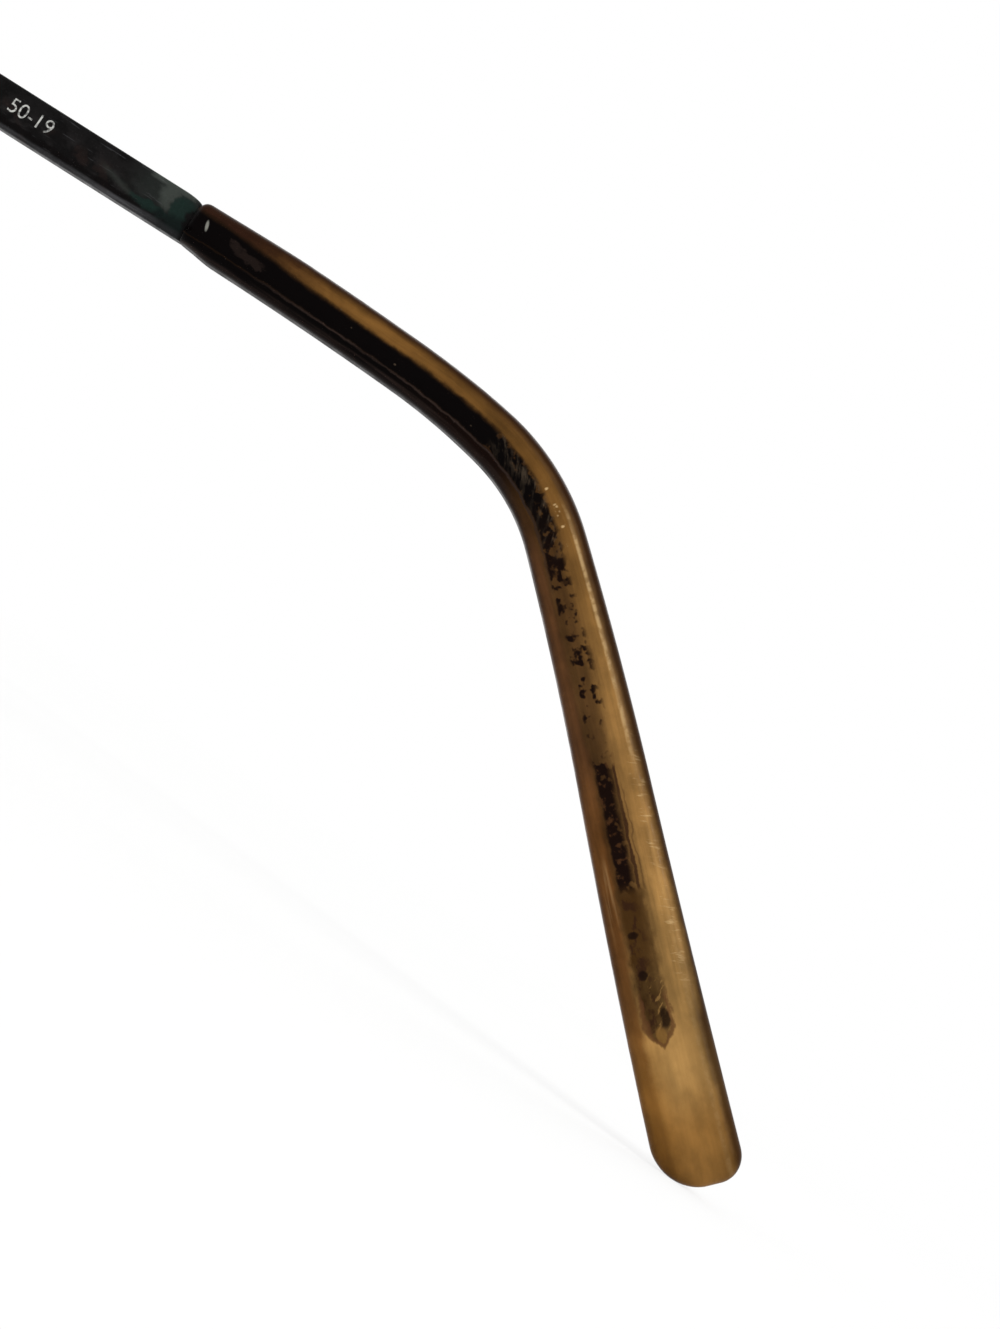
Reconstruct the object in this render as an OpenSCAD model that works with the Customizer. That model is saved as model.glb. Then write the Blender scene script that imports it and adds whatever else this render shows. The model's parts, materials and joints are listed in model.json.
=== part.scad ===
// Full-rim metal eyeglass frame with sleeved temple tips, standing open on its rims and tips.
// X runs to the wearer's left, Y runs back along the temples and Z is up. Sizes are millimetres.

/* [Lenses] */
// Width of one lens at mid height
lens_w = 50; // [46:0.5:54]
// Height of one lens
lens_h = 35; // [31:0.5:39]
// Thickness of a lens
lens_t = 1.8; // [1.5:0.1:2.1]
// Distance between the two lenses at mid height
lens_gap = 19; // [17:0.5:22]
// Radius of the lens front, which the rims follow
base_r = 110; // [90:1:140]
// Squareness of the upper half of the outline
upper_power = 3.0; // [2.4:0.1:3.6]
// Squareness of the lower half of the outline
lower_power = 2.5; // [2.2:0.1:3.2]
// How much wider the outline grows towards its top, as a share
top_flare = 0.05; // [0:0.01:0.1]
// How far the outline rises towards the temple, as a slope
outer_lift = 0.04; // [0:0.01:0.08]
// Turn of each lens round the face, in degrees
wrap = 4; // [0:0.5:7]

/* [Rims] */
// Wall of the rim outside the bottom of its groove
rim_wall = 1.1; // [0.9:0.05:1.4]
// Depth of the lens groove
rim_lip = 0.6; // [0.5:0.05:0.8]
// Depth of the rim, front to back
rim_depth = 2.3; // [2.2:0.1:2.8]
// Chamfer along the outside of the rim
rim_chamfer = 0.4; // [0.2:0.05:0.5]
// Width of the groove at its mouth
groove_w = 0.9; // [0.7:0.05:1.1]
// Place of the rim lock round the outline, in degrees above the lens's outer side
lock_angle = 20; // [12:1:28]
// Slit in the rim at the lock
slit_w = 0.2; // [0.15:0.05:0.3]
// How far the rim lock stands out from the rim
lock_w = 2.1; // [2.0:0.1:2.6]
// Height of each half of the rim lock
lock_h = 1.5; // [1.4:0.1:2.0]

/* [Bridge] */
// Place of the bridge round the outline, in degrees
bridge_angle = 148; // [140:1:156]
// Height of the bridge bar
bridge_h = 2.5; // [2:0.1:3]
// Thickness of the bridge bar
bridge_t = 1.4; // [1.2:0.1:1.5]
// Reach of the bridge's shoulders before it crosses
bridge_reach = 5.5; // [4:0.5:7]

/* [Nose pads] */
// Length of a pad
pad_len = 13; // [11:0.5:15]
// Width of a pad
pad_w = 7; // [6:0.5:8]
// Thickness of a pad
pad_t = 2.3; // [2:0.1:3]
// Pad pivot, sideways from the middle of the nose
pad_x = 10.6; // [10:0.1:11.5]
// Pad pivot, behind the lens front
pad_y = 6.4; // [6:0.1:7]
// Pad pivot, below the middle of the lens
pad_down = 3.5; // [2:0.5:6]
// Turn of a pad towards the face, in degrees
pad_splay = 28; // [20:1:35]
// Turn of a pad in the front view, in degrees
pad_frontal = 18; // [12:1:25]
// Diameter of the pad arm's wire
pad_wire_d = 1.0; // [0.9:0.05:1.2]
// Diameter of the pad screw
pad_screw_d = 0.8; // [0.7:0.05:0.9]

/* [End pieces] */
// Height of the end piece and of the temple at the hinge
end_h = 4.6; // [4.4:0.1:5.4]
// Height of the end piece where it lies on the rim
end_nose_h = 3.2; // [2.8:0.1:4]
// Thickness of the end piece
end_t = 1.2; // [1:0.1:1.3]
// Reach of the end piece sideways, to the temple's middle
end_reach = 8.3; // [7.5:0.1:10]
// Length of the end piece behind its corner
end_back = 6.8; // [6.4:0.1:8]
// Radius of the end piece's corner, at its middle
end_corner_r = 3.2; // [2.4:0.1:3.6]

/* [Hinges] */
// Outside diameter of a knuckle
knuckle_d = 2.5; // [2.3:0.1:2.7]
// Height of a knuckle
knuckle_h = 1.4; // [1.2:0.05:1.4]
// Diameter of the hinge screw
hinge_screw_d = 1.2; // [1.0:0.05:1.4]
// Diameter of the hinge screw's head
hinge_head_d = 1.9; // [1.7:0.05:2.0]
// Thickness of a hinge leaf
leaf_t = 0.7; // [0.6:0.05:0.8]
// Length of a hinge leaf
leaf_len = 4.4; // [3.8:0.1:5]

/* [Temples] */
// Temple length from the hinge axis to the end of the tip, along the bend
temple_len = 135; // [125:1:145]
// Height of the temple bar where it meets the tip
bar_h = 2.87; // [2.6:0.01:3.2]
// Thickness of the temple bar
bar_t = 1.1; // [1:0.05:1.3]
// Chamfer along the temple bar
bar_chamfer = 0.22; // [0.1:0.02:0.3]
// Distance behind the hinge over which the bar tapers to that height
bar_taper = 34; // [24:1:45]
// Downward slope of the temple from the square of the front, in degrees
pantoscopic = 8; // [4:0.5:12]
// Height of the core wire where it enters the tip
core_h = 2.1; // [1.7:0.05:2.3]
// Height of the core wire at its end
core_end_h = 1.2; // [0.9:0.05:1.4]
// Thickness of the core wire
core_t = 0.8; // [0.6:0.05:0.9]
// Length of the core wire inside the tip
core_len = 51; // [45:0.5:54]
// Length of the drilled channel that takes the core wire
channel_len = 61; // [58:0.5:63]
// How far the core wire lies below the middle of the tip
core_low = 0.25; // [0:0.05:0.35]

/* [Tips] */
// Height of the tip where it starts
tip_h = 3.39; // [3.2:0.01:3.8]
// Height of the tip at the ear bend
tip_ear_h = 3.77; // [3.5:0.01:4.2]
// Height of the tip near its end
tip_end_h = 5.26; // [4.6:0.01:6]
// Thickness of the tip up to the ear bend
tip_t = 2.7; // [2.4:0.05:3]
// Thickness of the tip at its end
tip_end_t = 2.2; // [2:0.05:2.6]
// Rounding of the tip's edges
tip_edge_r = 1.0; // [0.7:0.05:1.05]
// Length of the tip's first run, before it begins to bend
lead_len = 15.8; // [12:0.1:20]
// Downward turn of that run, in degrees
lead_turn = 3.1; // [2:0.1:7]
// Length of the run that eases into the ear bend
ease_len = 6.9; // [5:0.1:9]
// Downward turn of that run, in degrees
ease_turn = 8.3; // [6:0.1:11]
// Length of the ear bend
ear_len = 7.6; // [6:0.1:10]
// Downward turn of the ear bend, in degrees
ear_turn = 31.5; // [25:0.5:36]
// Length of the drop behind the ear
drop_len = 15.5; // [13:0.1:19]
// Downward turn of the drop, in degrees
drop_turn = 3.6; // [2:0.1:6]
// Length of the tail
tail_len = 23.7; // [20:0.1:27]
// Backward turn of the tail, in degrees
tail_turn = 1.3; // [0.5:0.1:3]
// Corner radius at the end, on the side of the ear
end_front_r = 2.9; // [2.2:0.1:2.9]
// Corner radius at the end, on the back
end_rear_r = 1.7; // [1.2:0.1:2.2]
// Drift of the tail towards the head
tip_drift = 2; // [0:0.1:2.5]

/* [Hidden] */
// Seat gap between pieces that are brazed, glued or clamped together
seat = 0.02;
// Gap between pieces that turn on each other
running = 0.05;
rim_steps = 80;
corner_facets = 14;
corner_steps = 4;
outline_step = 0.25;
slot_w = 0.3;
slot_deep = 0.25;

// Small helpers for vectors, frames and rings of points.
function unit(v) = v / norm(v);
function mix(a, b, u) = a + (b - a) * u;
function clamp01(u) = min(1, max(0, u));
function smooth(u) = let (c = clamp01(u)) c * c * (3 - 2 * c);
function total(list, i = 0) = i < len(list) ? list[i] + total(list, i + 1) : 0;
function mean(points) = [for (k = [0:2]) total([for (p = points) p[k]]) / len(points)];
function mirror_x(p) = [-p.x, p.y, p.z];
function turn_x(p, a) = [p.x, p.y * cos(a) - p.z * sin(a), p.y * sin(a) + p.z * cos(a)];
function turn_z(p, a) = [p.x * cos(a) - p.y * sin(a), p.x * sin(a) + p.y * cos(a), p.z];
function across(v, along) = unit(v - along * (v * along));
function ring_at(middle, a, b, outline) = [for (q = outline) middle + a * q.x + b * q.y];

// A rectangle from low to high, rounded by r, as steps points round each corner.
function rounded(low, high, r, steps) = [
    for (corner = [0:3], k = [0:steps - 1])
        let (
            angle = 90 * corner + 90 * k / (steps - 1),
            x = corner == 0 || corner == 3 ? high.x - r : low.x + r,
            y = corner < 2 ? high.y - r : low.y + r
        )
        [x + r * cos(angle), y + r * sin(angle)]
];
function round_ring(r, sides) = [for (k = [0:sides - 1]) r * [cos(360 * k / sides), sin(360 * k / sides)]];

// A closed skin over rings of equal length, with a fan from a point over each end.
module skin(rings, first, last) {
    n = len(rings[0]);
    m = len(rings);
    points = concat([for (ring = rings) each ring], [first, last]);
    sides = [
        for (i = [0:m - 2], j = [0:n - 1])
            let (a = i * n + j, b = i * n + (j + 1) % n)
            each [[a, b + n, b], [a, a + n, b + n]]
    ];
    starts = [for (j = [0:n - 1]) [j, (j + 1) % n, m * n]];
    ends = [for (j = [0:n - 1]) [(m - 1) * n + (j + 1) % n, (m - 1) * n + j, m * n + 1]];
    polyhedron(points, concat(sides, starts, ends), convexity = 6);
}
module capped_skin(rings) {
    skin(rings, mean(rings[0]), mean(rings[len(rings) - 1]));
}
module in_axes(origin, x, y, z) {
    multmatrix([
        [x.x, y.x, z.x, origin.x],
        [x.y, y.y, z.y, origin.y],
        [x.z, y.z, z.z, origin.z],
        [0, 0, 0, 1]
    ]) children();
}

// One eye: x towards the temple, y back, z up, with the middle of the lens front at the origin.
function outline(t) =
    let (
        power = sin(t) >= 0 ? upper_power : lower_power,
        x = lens_w / 2 * sign(cos(t)) * pow(abs(cos(t)), 2 / power),
        z = lens_h / 2 * sign(sin(t)) * pow(abs(sin(t)), 2 / power),
        wide = x * (1 + top_flare * z / (lens_h / 2))
    )
    [wide, z + outer_lift * wide];
function outline_normal(t) =
    let (d = outline(t + outline_step) - outline(t - outline_step)) unit([d.y, -d.x]);
function sag(p) = base_r - sqrt(base_r * base_r - p.x * p.x - p.y * p.y);
function on_lens(p) = [p.x, sag(p), p.y];
function depth_dir(p) = unit([-p.x, base_r - sag(p), -p.y]);
function out_dir(t, p) = let (n = outline_normal(t)) across([n.x, 0, n.y], depth_dir(p));
// A point of the eye: share is 1 on the outline, out is past it and deep is behind the middle layer.
function eye_point(t, share, out, deep) =
    let (p = outline(t) * share) on_lens(p) + out_dir(t, p) * out + depth_dir(p) * deep;
function eye_ring(share, out, deep) = [
    for (k = [0:rim_steps - 1]) eye_point(360 * k / rim_steps, share, out, deep)
];

// The front: x sideways from the middle of the bridge, with the eyes turned round the face.
eye_x = lens_gap / 2 + lens_w / 2;
function front_dir(v) = turn_z(v, wrap);
function front_point(p) = front_dir(p) + [eye_x, 0, 0];

// The rim lock's frame, on the outside of the rim.
lock_p = outline(lock_angle);
lock_out = front_dir(out_dir(lock_angle, lock_p));
lock_deep = front_dir(depth_dir(lock_p));
lock_up = cross(lock_out, lock_deep);
lock_mid = front_point(eye_point(lock_angle, 1, rim_wall + seat + lock_w / 2, 0));

// The end piece's middle line seen from above: out along the front, round a corner and back to the hinge.
end_heading = atan2(-lock_deep.x, lock_deep.y);
end_lap = 0.8;
end_slope = abs(lock_deep.z) / norm([lock_deep.x, lock_deep.y]);
end_clear = 2 * seat + end_slope * end_nose_h / 2;
end_ahead = rim_depth / 2 + end_clear + end_t / 2;
end_start = front_point(eye_point(lock_angle, 1, rim_wall - end_lap, -end_ahead));
bar_x = end_start.x + end_reach;
end_corner = [bar_x, end_start.y + end_reach * tan(end_heading)];
end_tangent = end_corner_r * tan((90 - end_heading) / 2);

// The hinge axis stands inside the temple bar by the leaf and the knuckle.
knuckle_clear = 0.2;
bar_out = knuckle_d / 2 + knuckle_clear + bar_t / 2;
hinge = [bar_x - bar_out, end_corner.y + end_back, lock_mid.z];

// As worn: origin on the hinge axes' middle, temples level, and the front turned by the pantoscopic angle.
function worn_point(p) = turn_x(p - [0, hinge.y, hinge.z], pantoscopic);

// The temple's middle line, as worn: straight to the tip, then five runs of steady turn.
run_lengths = [lead_len, ease_len, ear_len, drop_len, tail_len];
run_turns = [lead_turn, ease_turn, ear_turn, drop_turn, -tail_turn];
tip_len = total(run_lengths);
bar_len = temple_len - tip_len;
function heading(s, i = 0) =
    i == len(run_lengths) || s <= 0 ? 0
    : run_turns[i] * min(1, s / run_lengths[i]) + heading(s - run_lengths[i], i + 1);
// The step along s of a run of length l and steady turn b that starts at heading a.
function run_step(s, l, b, a) =
    let (curl = b * PI / 180 / l, c = a + b * s / l)
    [(sin(c) - sin(a)) / curl, (cos(c) - cos(a)) / curl];
function tip_walk(s, i = 0, a = 0) =
    s <= 0 || i == len(run_lengths) ? [0, 0]
    : run_step(min(s, run_lengths[i]), run_lengths[i], run_turns[i], a)
        + tip_walk(s - run_lengths[i], i + 1, a + run_turns[i]);
ear_start = lead_len + ease_len;
function drift(s) = let (u = max(0, s - ear_start) / (tip_len - ear_start)) tip_drift * u * u;
// Middle of the tip and the direction of its back edge, s along the tip.
function tip_mid(s) = let (w = tip_walk(s)) [hinge.x + bar_out - drift(s), bar_len + min(s, 0) + w.x, w.y];
function tip_up(s) = let (a = heading(s)) [0, sin(a), cos(a)];
side_dir = [1, 0, 0];
function tip_ring(s, outline) = ring_at(tip_mid(s), tip_up(s), side_dir, outline);

// Places along the tip where its shape is drawn.
function steps_of(start, length, count) = [for (k = [1:count]) start + length * k / count];
nose_run = 2.4;
nose_rise = 8;
nose_proud = 0.1;
body_stations = concat(
    steps_of(nose_run, nose_rise - nose_run, 2),
    steps_of(nose_rise, lead_len - nose_rise, 2),
    steps_of(lead_len, ease_len, 3),
    steps_of(ear_start, ear_len, 8),
    steps_of(ear_start + ear_len, drop_len, 5),
    steps_of(ear_start + ear_len + drop_len, tail_len - end_front_r, 4)
);
nose_r = 0.55;
nose_drop = 0.33;
nose_stations = concat([for (k = [0, 0.15, 0.45, 1]) k * nose_r], [for (k = [0.4, 0.7, 1]) k * nose_run]);
end_stations = [for (a = [12, 25, 38, 50, 62, 73, 82, 87]) tip_len - end_front_r * (1 - sin(a))];

// Height of the tip above and below its middle line, and its thickness.
function tip_height(s) =
    let (u = clamp01((s - ear_start) / (tip_len - ear_start)))
    s < ear_start ? mix(tip_h, tip_ear_h, smooth((s - lead_len) / (2 * ease_len)))
    : mix(mix(tip_h, tip_ear_h, 0.5), tip_end_h, mix(u, smooth(u), 0.5));
function rounding(s, r) = let (u = clamp01((s - (tip_len - r)) / r)) r * (1 - sqrt(1 - u * u));
function nose_cut(s) = let (u = clamp01(1 - s / nose_r)) nose_drop * (1 - sqrt(1 - u * u));
function tip_above(s) =
    mix(bar_h / 2 + nose_proud, tip_height(s) / 2, smooth(s / nose_rise))
    - rounding(s, end_rear_r) - nose_cut(s);
function tip_below(s) =
    mix(bar_h / 2 + seat, tip_height(s) / 2, smooth(s / nose_run)) - rounding(s, end_front_r);
function tip_thick(s) =
    mix(tip_t, tip_end_t, smooth((s - ear_start) / (tip_len - ear_start)))
    - 2 * nose_cut(s) - 2 * rounding(s, tip_end_t / 2);
function tip_section(s) =
    let (
        above = tip_above(s),
        below = tip_below(s),
        thick = max(seat, tip_thick(s)),
        r = min(tip_edge_r, 0.45 * thick, 0.45 * (above + below))
    )
    rounded([-below, -thick / 2], [above, thick / 2], r, corner_steps);
tip_rings = [for (s = concat(nose_stations, body_stations, end_stations)) tip_ring(s, tip_section(s))];

// The core wire, and the channel that takes it, along the same middle line.
core_point = 2.2;
core_edge_r = 0.2;
channel_point = 0.12;
channel_stations = [
    for (s = concat([nose_r / 2, nose_run], body_stations)) if (s < core_len - 1.3 * core_point) s
];
function core_height(s) = mix(core_h, core_end_h, smooth(s / core_len));
function core_section(s, gap, share, steps) =
    let (h = share * core_height(s) / 2 + gap, t = share * core_t / 2 + gap)
    rounded([-core_low - h, -t], [-core_low + h, t], core_edge_r * share + gap, steps);
channel_rings = concat(
    [tip_ring(channel_len, core_section(core_len, 0, channel_point, corner_steps))],
    [tip_ring(channel_len - core_point, core_section(core_len, running, 1, corner_steps))],
    [for (k = [len(channel_stations) - 1:-1:0])
        tip_ring(channel_stations[k], core_section(channel_stations[k], running, 1, corner_steps))],
    [tip_ring(0, core_section(0, running, 1, corner_steps))]
);

// The temple bar: mitred at the hinge, tapered, with a rounded shoulder ahead of the tip.
mitre_gap = running;
shoulder_len = 1.3;
shoulder_drop = 0.28;
shoulder_slim = 0.1;
function bar_height(s) = mix(end_h, bar_h, smooth(s / bar_taper));
function bar_ring(s, above, below, thick, chamfer) =
    [for (q = rounded([-below, -thick / 2], [above, thick / 2], chamfer, 2))
        [hinge.x + bar_out + q.y, s, q.x]];
hinge_ring = [
    for (p = bar_ring(0, end_h / 2, end_h / 2, bar_t, bar_chamfer))
        [p.x, (mitre_gap - p.z * sin(pantoscopic)) / cos(pantoscopic), p.z]
];
taper_rings = [
    for (k = [1:8])
        let (s = bar_taper * k / 8) bar_ring(s, bar_height(s) / 2, bar_height(s) / 2, bar_t, bar_chamfer)
];
shoulder_rings = [
    for (u = [0, 0.35, 0.65, 0.88, 1])
        let (drop = 1 - sqrt(1 - u * u))
        bar_ring(
            bar_len - seat - shoulder_len * (1 - u), bar_h / 2 - shoulder_drop * drop,
            bar_h / 2, bar_t - shoulder_slim * drop, bar_chamfer
        )
];
core_rings = concat(
    [bar_ring(bar_len - seat, core_h / 2 - core_low, core_h / 2 + core_low, core_t, core_edge_r)],
    [for (s = channel_stations) tip_ring(s, core_section(s, 0, 1, 2))],
    [tip_ring(core_len - core_point, core_section(core_len, 0, 1, 2))],
    [tip_ring(core_len, core_section(core_len, 0, 0.3, 2))]
);
bar_rings = concat([hinge_ring], taper_rings, shoulder_rings, core_rings);

// The rim's section, as distance out and depth, and its rings from one side of the slit to the other.
rim_section = [
    [-rim_lip, -rim_depth / 2], [rim_wall - rim_chamfer, -rim_depth / 2],
    [rim_wall, -rim_depth / 2 + rim_chamfer], [rim_wall, rim_depth / 2 - rim_chamfer],
    [rim_wall - rim_chamfer, rim_depth / 2], [-rim_lip, rim_depth / 2],
    [-rim_lip, groove_w / 2], [0, 0], [-rim_lip, -groove_w / 2]
];
lock_chord = outline(lock_angle + outline_step) - outline(lock_angle - outline_step);
rim_speed = norm(lock_chord) / (2 * outline_step);
slit_half = slit_w / 2 / rim_speed;
rim_stations = concat(
    [lock_angle + slit_half],
    [for (k = [1:rim_steps])
        let (t = 360 * k / rim_steps)
        if (t > lock_angle + 4 * slit_half) t],
    [for (k = [1:rim_steps])
        let (t = 360 * k / rim_steps)
        if (t < lock_angle - 4 * slit_half) t + 360],
    [lock_angle + 360 - slit_half]
);
rim_rings = [for (t = rim_stations) [for (q = rim_section) front_point(eye_point(t, 1, q.x, q.y))]];

// The bridge, a curve between the two rims that leaves each square to its side.
bridge_p = outline(bridge_angle);
bridge_foot = front_point(eye_point(bridge_angle, 1, rim_wall + seat, 0));
bridge_leave = front_dir(out_dir(bridge_angle, bridge_p));
bridge_deep = front_dir(depth_dir(bridge_p));
function bezier(c, u) =
    c[0] * pow(1 - u, 3) + c[1] * 3 * u * pow(1 - u, 2) + c[2] * 3 * u * u * (1 - u) + c[3] * pow(u, 3);
function bezier_dir(c, u) = unit(
    (c[1] - c[0]) * pow(1 - u, 2) + (c[2] - c[1]) * 2 * u * (1 - u) + (c[3] - c[2]) * u * u);
bridge_line = let (knee = bridge_foot + bridge_leave * bridge_reach)
    [bridge_foot, knee, mirror_x(knee), mirror_x(bridge_foot)];
bridge_steps = 16;
bridge_waist = 0.82;
bridge_edge_r = 0.4;
bridge_rings = [
    for (k = [0:bridge_steps])
        let (
            u = k / bridge_steps,
            along = bezier_dir(bridge_line, u),
            deep = across(mix(bridge_deep, mirror_x(bridge_deep), u), along),
            h = bridge_h * mix(1, bridge_waist, sin(180 * u)) / 2,
            t = bridge_t / 2
        )
        ring_at(bezier(bridge_line, u), cross(deep, along), deep, rounded([-h, -t], [h, t], bridge_edge_r, 3))
];

// The pad frame: x up the pad, y back along its screw, z towards the nose, with the pivot at the origin.
pad_pivot = [pad_x, pad_y, -pad_down];
pad_up = [-sin(pad_frontal), 0, cos(pad_frontal)];
pad_back = across([sin(pad_splay), cos(pad_splay), 0], pad_up);
pad_nose = cross(pad_up, pad_back);
lug_r = 1.1;
lug_t = 1.0;
lug_neck_w = 1.8;
lug_foot_l = 4;
lug_foot_w = 2.4;
lug_foot_t = 0.3;
box_wall = 0.4;
box_end_gap = 0.2;
box_len = 2 * (lug_r + box_end_gap + box_wall);
box_w = lug_t + 2 * (running + box_wall);
box_low = -(lug_r + box_end_gap + box_wall);
box_high = 0.8;
pad_low = 1.6;

// The pad arm's wire: square off the back of the rim, round and into the back of the pad box.
arm_angle = 171;
arm_in = 0.1;
arm_rise = 3.6;
arm_hook = 3.2;
arm_p = outline(arm_angle);
arm_deep = front_dir(depth_dir(arm_p));
arm_foot = front_point(eye_point(arm_angle, 1, arm_in, rim_depth / 2 + seat));
arm_end = pad_pivot + pad_nose * (box_low - seat);
arm_line = [arm_foot, arm_foot + arm_deep * arm_rise, arm_end - pad_nose * arm_hook, arm_end];
arm_steps = 16;
arm_side = [1, 0, -1];
arm_rings = [
    for (k = [0:arm_steps])
        let (along = bezier_dir(arm_line, k / arm_steps), side = across(arm_side, along))
        ring_at(bezier(arm_line, k / arm_steps), cross(side, along), side, round_ring(pad_wire_d / 2, 12))
];

// How the frame stands: turned until the rims and the tips reach the table together.
rim_feet = [for (ring = rim_rings) each [for (p = ring) worn_point(p)]];
tip_feet = [for (ring = tip_rings) each ring];
function lowest(points, pitch) = min([for (p = points) turn_x(p, pitch).z]);
function level(low, high, turns) =
    let (middle = (low + high) / 2)
    turns == 0 ? middle
    : lowest(tip_feet, middle) < lowest(rim_feet, middle) ? level(middle, high, turns - 1)
    : level(low, middle, turns - 1);
stand_pitch = level(-15, 15, 22);
stand_z = -min(lowest(rim_feet, stand_pitch), lowest(tip_feet, stand_pitch));
bridge_feet = [for (ring = bridge_rings) each [for (p = ring) worn_point(p)]];
stand_y = -(
    min([for (p = concat(rim_feet, bridge_feet)) turn_x(p, stand_pitch).y])
    + max([for (p = tip_feet) turn_x(p, stand_pitch).y])
) / 2;

module stand() {
    translate([0, stand_y, stand_z]) rotate([stand_pitch, 0, 0]) children();
}
module on_front() {
    stand() rotate([pantoscopic, 0, 0]) translate([0, -hinge.y, -hinge.z]) children();
}
module side(right) {
    mirror([right ? 1 : 0, 0, 0]) children();
}
module enamel() {
    color([0.03, 0.03, 0.035]) children();
}
module steel() {
    color([0.6, 0.6, 0.62]) children();
}

// A screw along Z with its slotted head's top at zero and its end at -length.
module slotted_screw(d, length, head_d, head_h) {
    steel() difference() {
        union() {
            translate([0, 0, -length]) cylinder(h = length, d = d, $fn = 32);
            translate([0, 0, -head_h]) cylinder(h = head_h, d = head_d, $fn = 32);
        }
        translate([-head_d, -slot_w / 2, -slot_deep]) cube([2 * head_d, slot_w, 2 * slot_deep]);
    }
}

module rim(right) {
    enamel() on_front() side(right) capped_skin(rim_rings);
}

// The lens: crowned faces and an edge bevel that lies in the rim's groove.
lens_rim_gap = 0.1;
bevel_gap = 0.05;
lens_edge = rim_lip + lens_rim_gap;
bevel_half = (lens_edge - bevel_gap) * groove_w / 2 / rim_lip;
module lens(right) {
    half = lens_t / 2;
    rings = [
        eye_ring(0.5, 0, -half), eye_ring(1, -lens_edge, -half),
        eye_ring(1, -lens_edge, -bevel_half), eye_ring(1, -bevel_gap, 0),
        eye_ring(1, -lens_edge, bevel_half), eye_ring(1, -lens_edge, half), eye_ring(0.5, 0, half)
    ];
    placed = [for (ring = rings) [for (p = ring) front_point(p)]];
    color([0.8, 0.85, 0.85, 0.4])
        on_front() side(right) skin(placed, front_point([0, -half, 0]), front_point([0, half, 0]));
}

module bridge() {
    enamel() on_front() capped_skin(bridge_rings);
}

// The rim lock: two blocks on the ends of the rim, drawn together by the rim screw.
rim_screw_d = 1.1;
rim_head_d = 1.7;
rim_head_h = 0.6;
module rim_lock(right) {
    enamel() on_front() side(right) in_axes(lock_mid, lock_out, lock_deep, lock_up) difference() {
        for (end = [-1, 1])
            translate([0, 0, end * (slit_w + lock_h) / 2])
                cube([lock_w, rim_depth, lock_h], center = true);
        cylinder(h = 4 * lock_h, d = rim_screw_d + 2 * seat, center = true, $fn = 32);
    }
}
module rim_screw(right) {
    length = 2 * lock_h + slit_w + rim_head_h + seat;
    on_front() side(right) in_axes(lock_mid, lock_out, -lock_deep, -lock_up)
        translate([0, 0, length / 2 + rim_head_h / 2 + seat / 2])
            slotted_screw(rim_screw_d, length, rim_head_d, rim_head_h);
}

// The end piece: a strip bent out from the rim lock and back to the hinge, narrower over the rim.
function end_arc(r) =
    let (middle = [bar_x - end_corner_r, end_corner.y + end_tangent])
    [for (k = [0:corner_facets]) let (a = mix(end_heading - 90, 0, k / corner_facets))
        middle + r * [cos(a), sin(a)]];
function backwards(list) = [for (k = [len(list) - 1:-1:0]) list[k]];
module end_plan() {
    half = end_t / 2;
    outward = half * [sin(end_heading), -cos(end_heading)];
    start = [end_start.x, end_start.y];
    back = hinge.y - mitre_gap;
    polygon(concat(
        [start + outward], end_arc(end_corner_r + half), [[bar_x + half, back], [bar_x - half, back]],
        backwards(end_arc(end_corner_r - half)), [start - outward]
    ));
}
// Seen from the front, with x from the end piece's start.
module end_face() {
    flare = end_reach - end_corner_r;
    nose = end_nose_h / 2;
    translate([nose, 0]) circle(r = nose, $fn = 64);
    polygon([
        [nose, -nose], [flare, -end_h / 2], [2 * end_reach, -end_h / 2],
        [2 * end_reach, end_h / 2], [flare, end_h / 2], [nose, nose]
    ]);
}
module end_piece(right) {
    enamel() on_front() side(right) intersection() {
        translate([0, 0, hinge.z - end_h]) linear_extrude(height = 2 * end_h) end_plan();
        translate([end_start.x, hinge.y, hinge.z]) rotate([90, 0, 0])
            linear_extrude(height = 4 * end_back) end_face();
    }
}

// Knuckles stand on the hinge axis, stacked along Z, and each has a web to its leaf.
knuckle_pitch = knuckle_h + running;
hinge_head_h = 0.6;
function leaf_face(toward) = bar_out - (toward > 0 ? bar_t : end_t) / 2 - seat;
// Each leaf starts where its inner corner clears the other leaf's knuckles.
function leaf_start(toward) =
    let (reach = knuckle_d / 2 + running, inner = leaf_face(toward) - leaf_t)
    sqrt(reach * reach - inner * inner);
web_lap = 0.2;
module knuckle(z, toward) {
    reach = leaf_start(toward) + web_lap;
    translate([0, 0, z - knuckle_h / 2]) {
        cylinder(h = knuckle_h, d = knuckle_d, $fn = 48);
        translate([0, toward > 0 ? 0 : -reach, 0]) cube([leaf_face(toward), reach, knuckle_h]);
    }
}
leaf_margin = 0.15;
module leaf(toward) {
    start = leaf_start(toward);
    translate([leaf_face(toward) - leaf_t, toward > 0 ? start : -leaf_len, leaf_margin - end_h / 2])
        cube([leaf_t, leaf_len - start, end_h - 2 * leaf_margin]);
}
module front_hinge(right) {
    enamel() on_front() side(right) translate(hinge) difference() {
        union() {
            for (z = [-1, 1]) knuckle(z * knuckle_pitch, -1);
            leaf(-1);
        }
        cylinder(h = 2 * end_h, d = hinge_screw_d + 2 * seat, center = true, $fn = 32);
        translate([0, 0, knuckle_pitch + knuckle_h / 2 - hinge_head_h])
            cylinder(h = end_h, d = hinge_head_d + 2 * running, $fn = 32);
    }
}
module hinge_screw(right) {
    top = knuckle_pitch + knuckle_h / 2;
    on_front() side(right) translate(hinge + [0, 0, top + seat])
        slotted_screw(hinge_screw_d, 2 * top, hinge_head_d, hinge_head_h);
}
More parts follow.
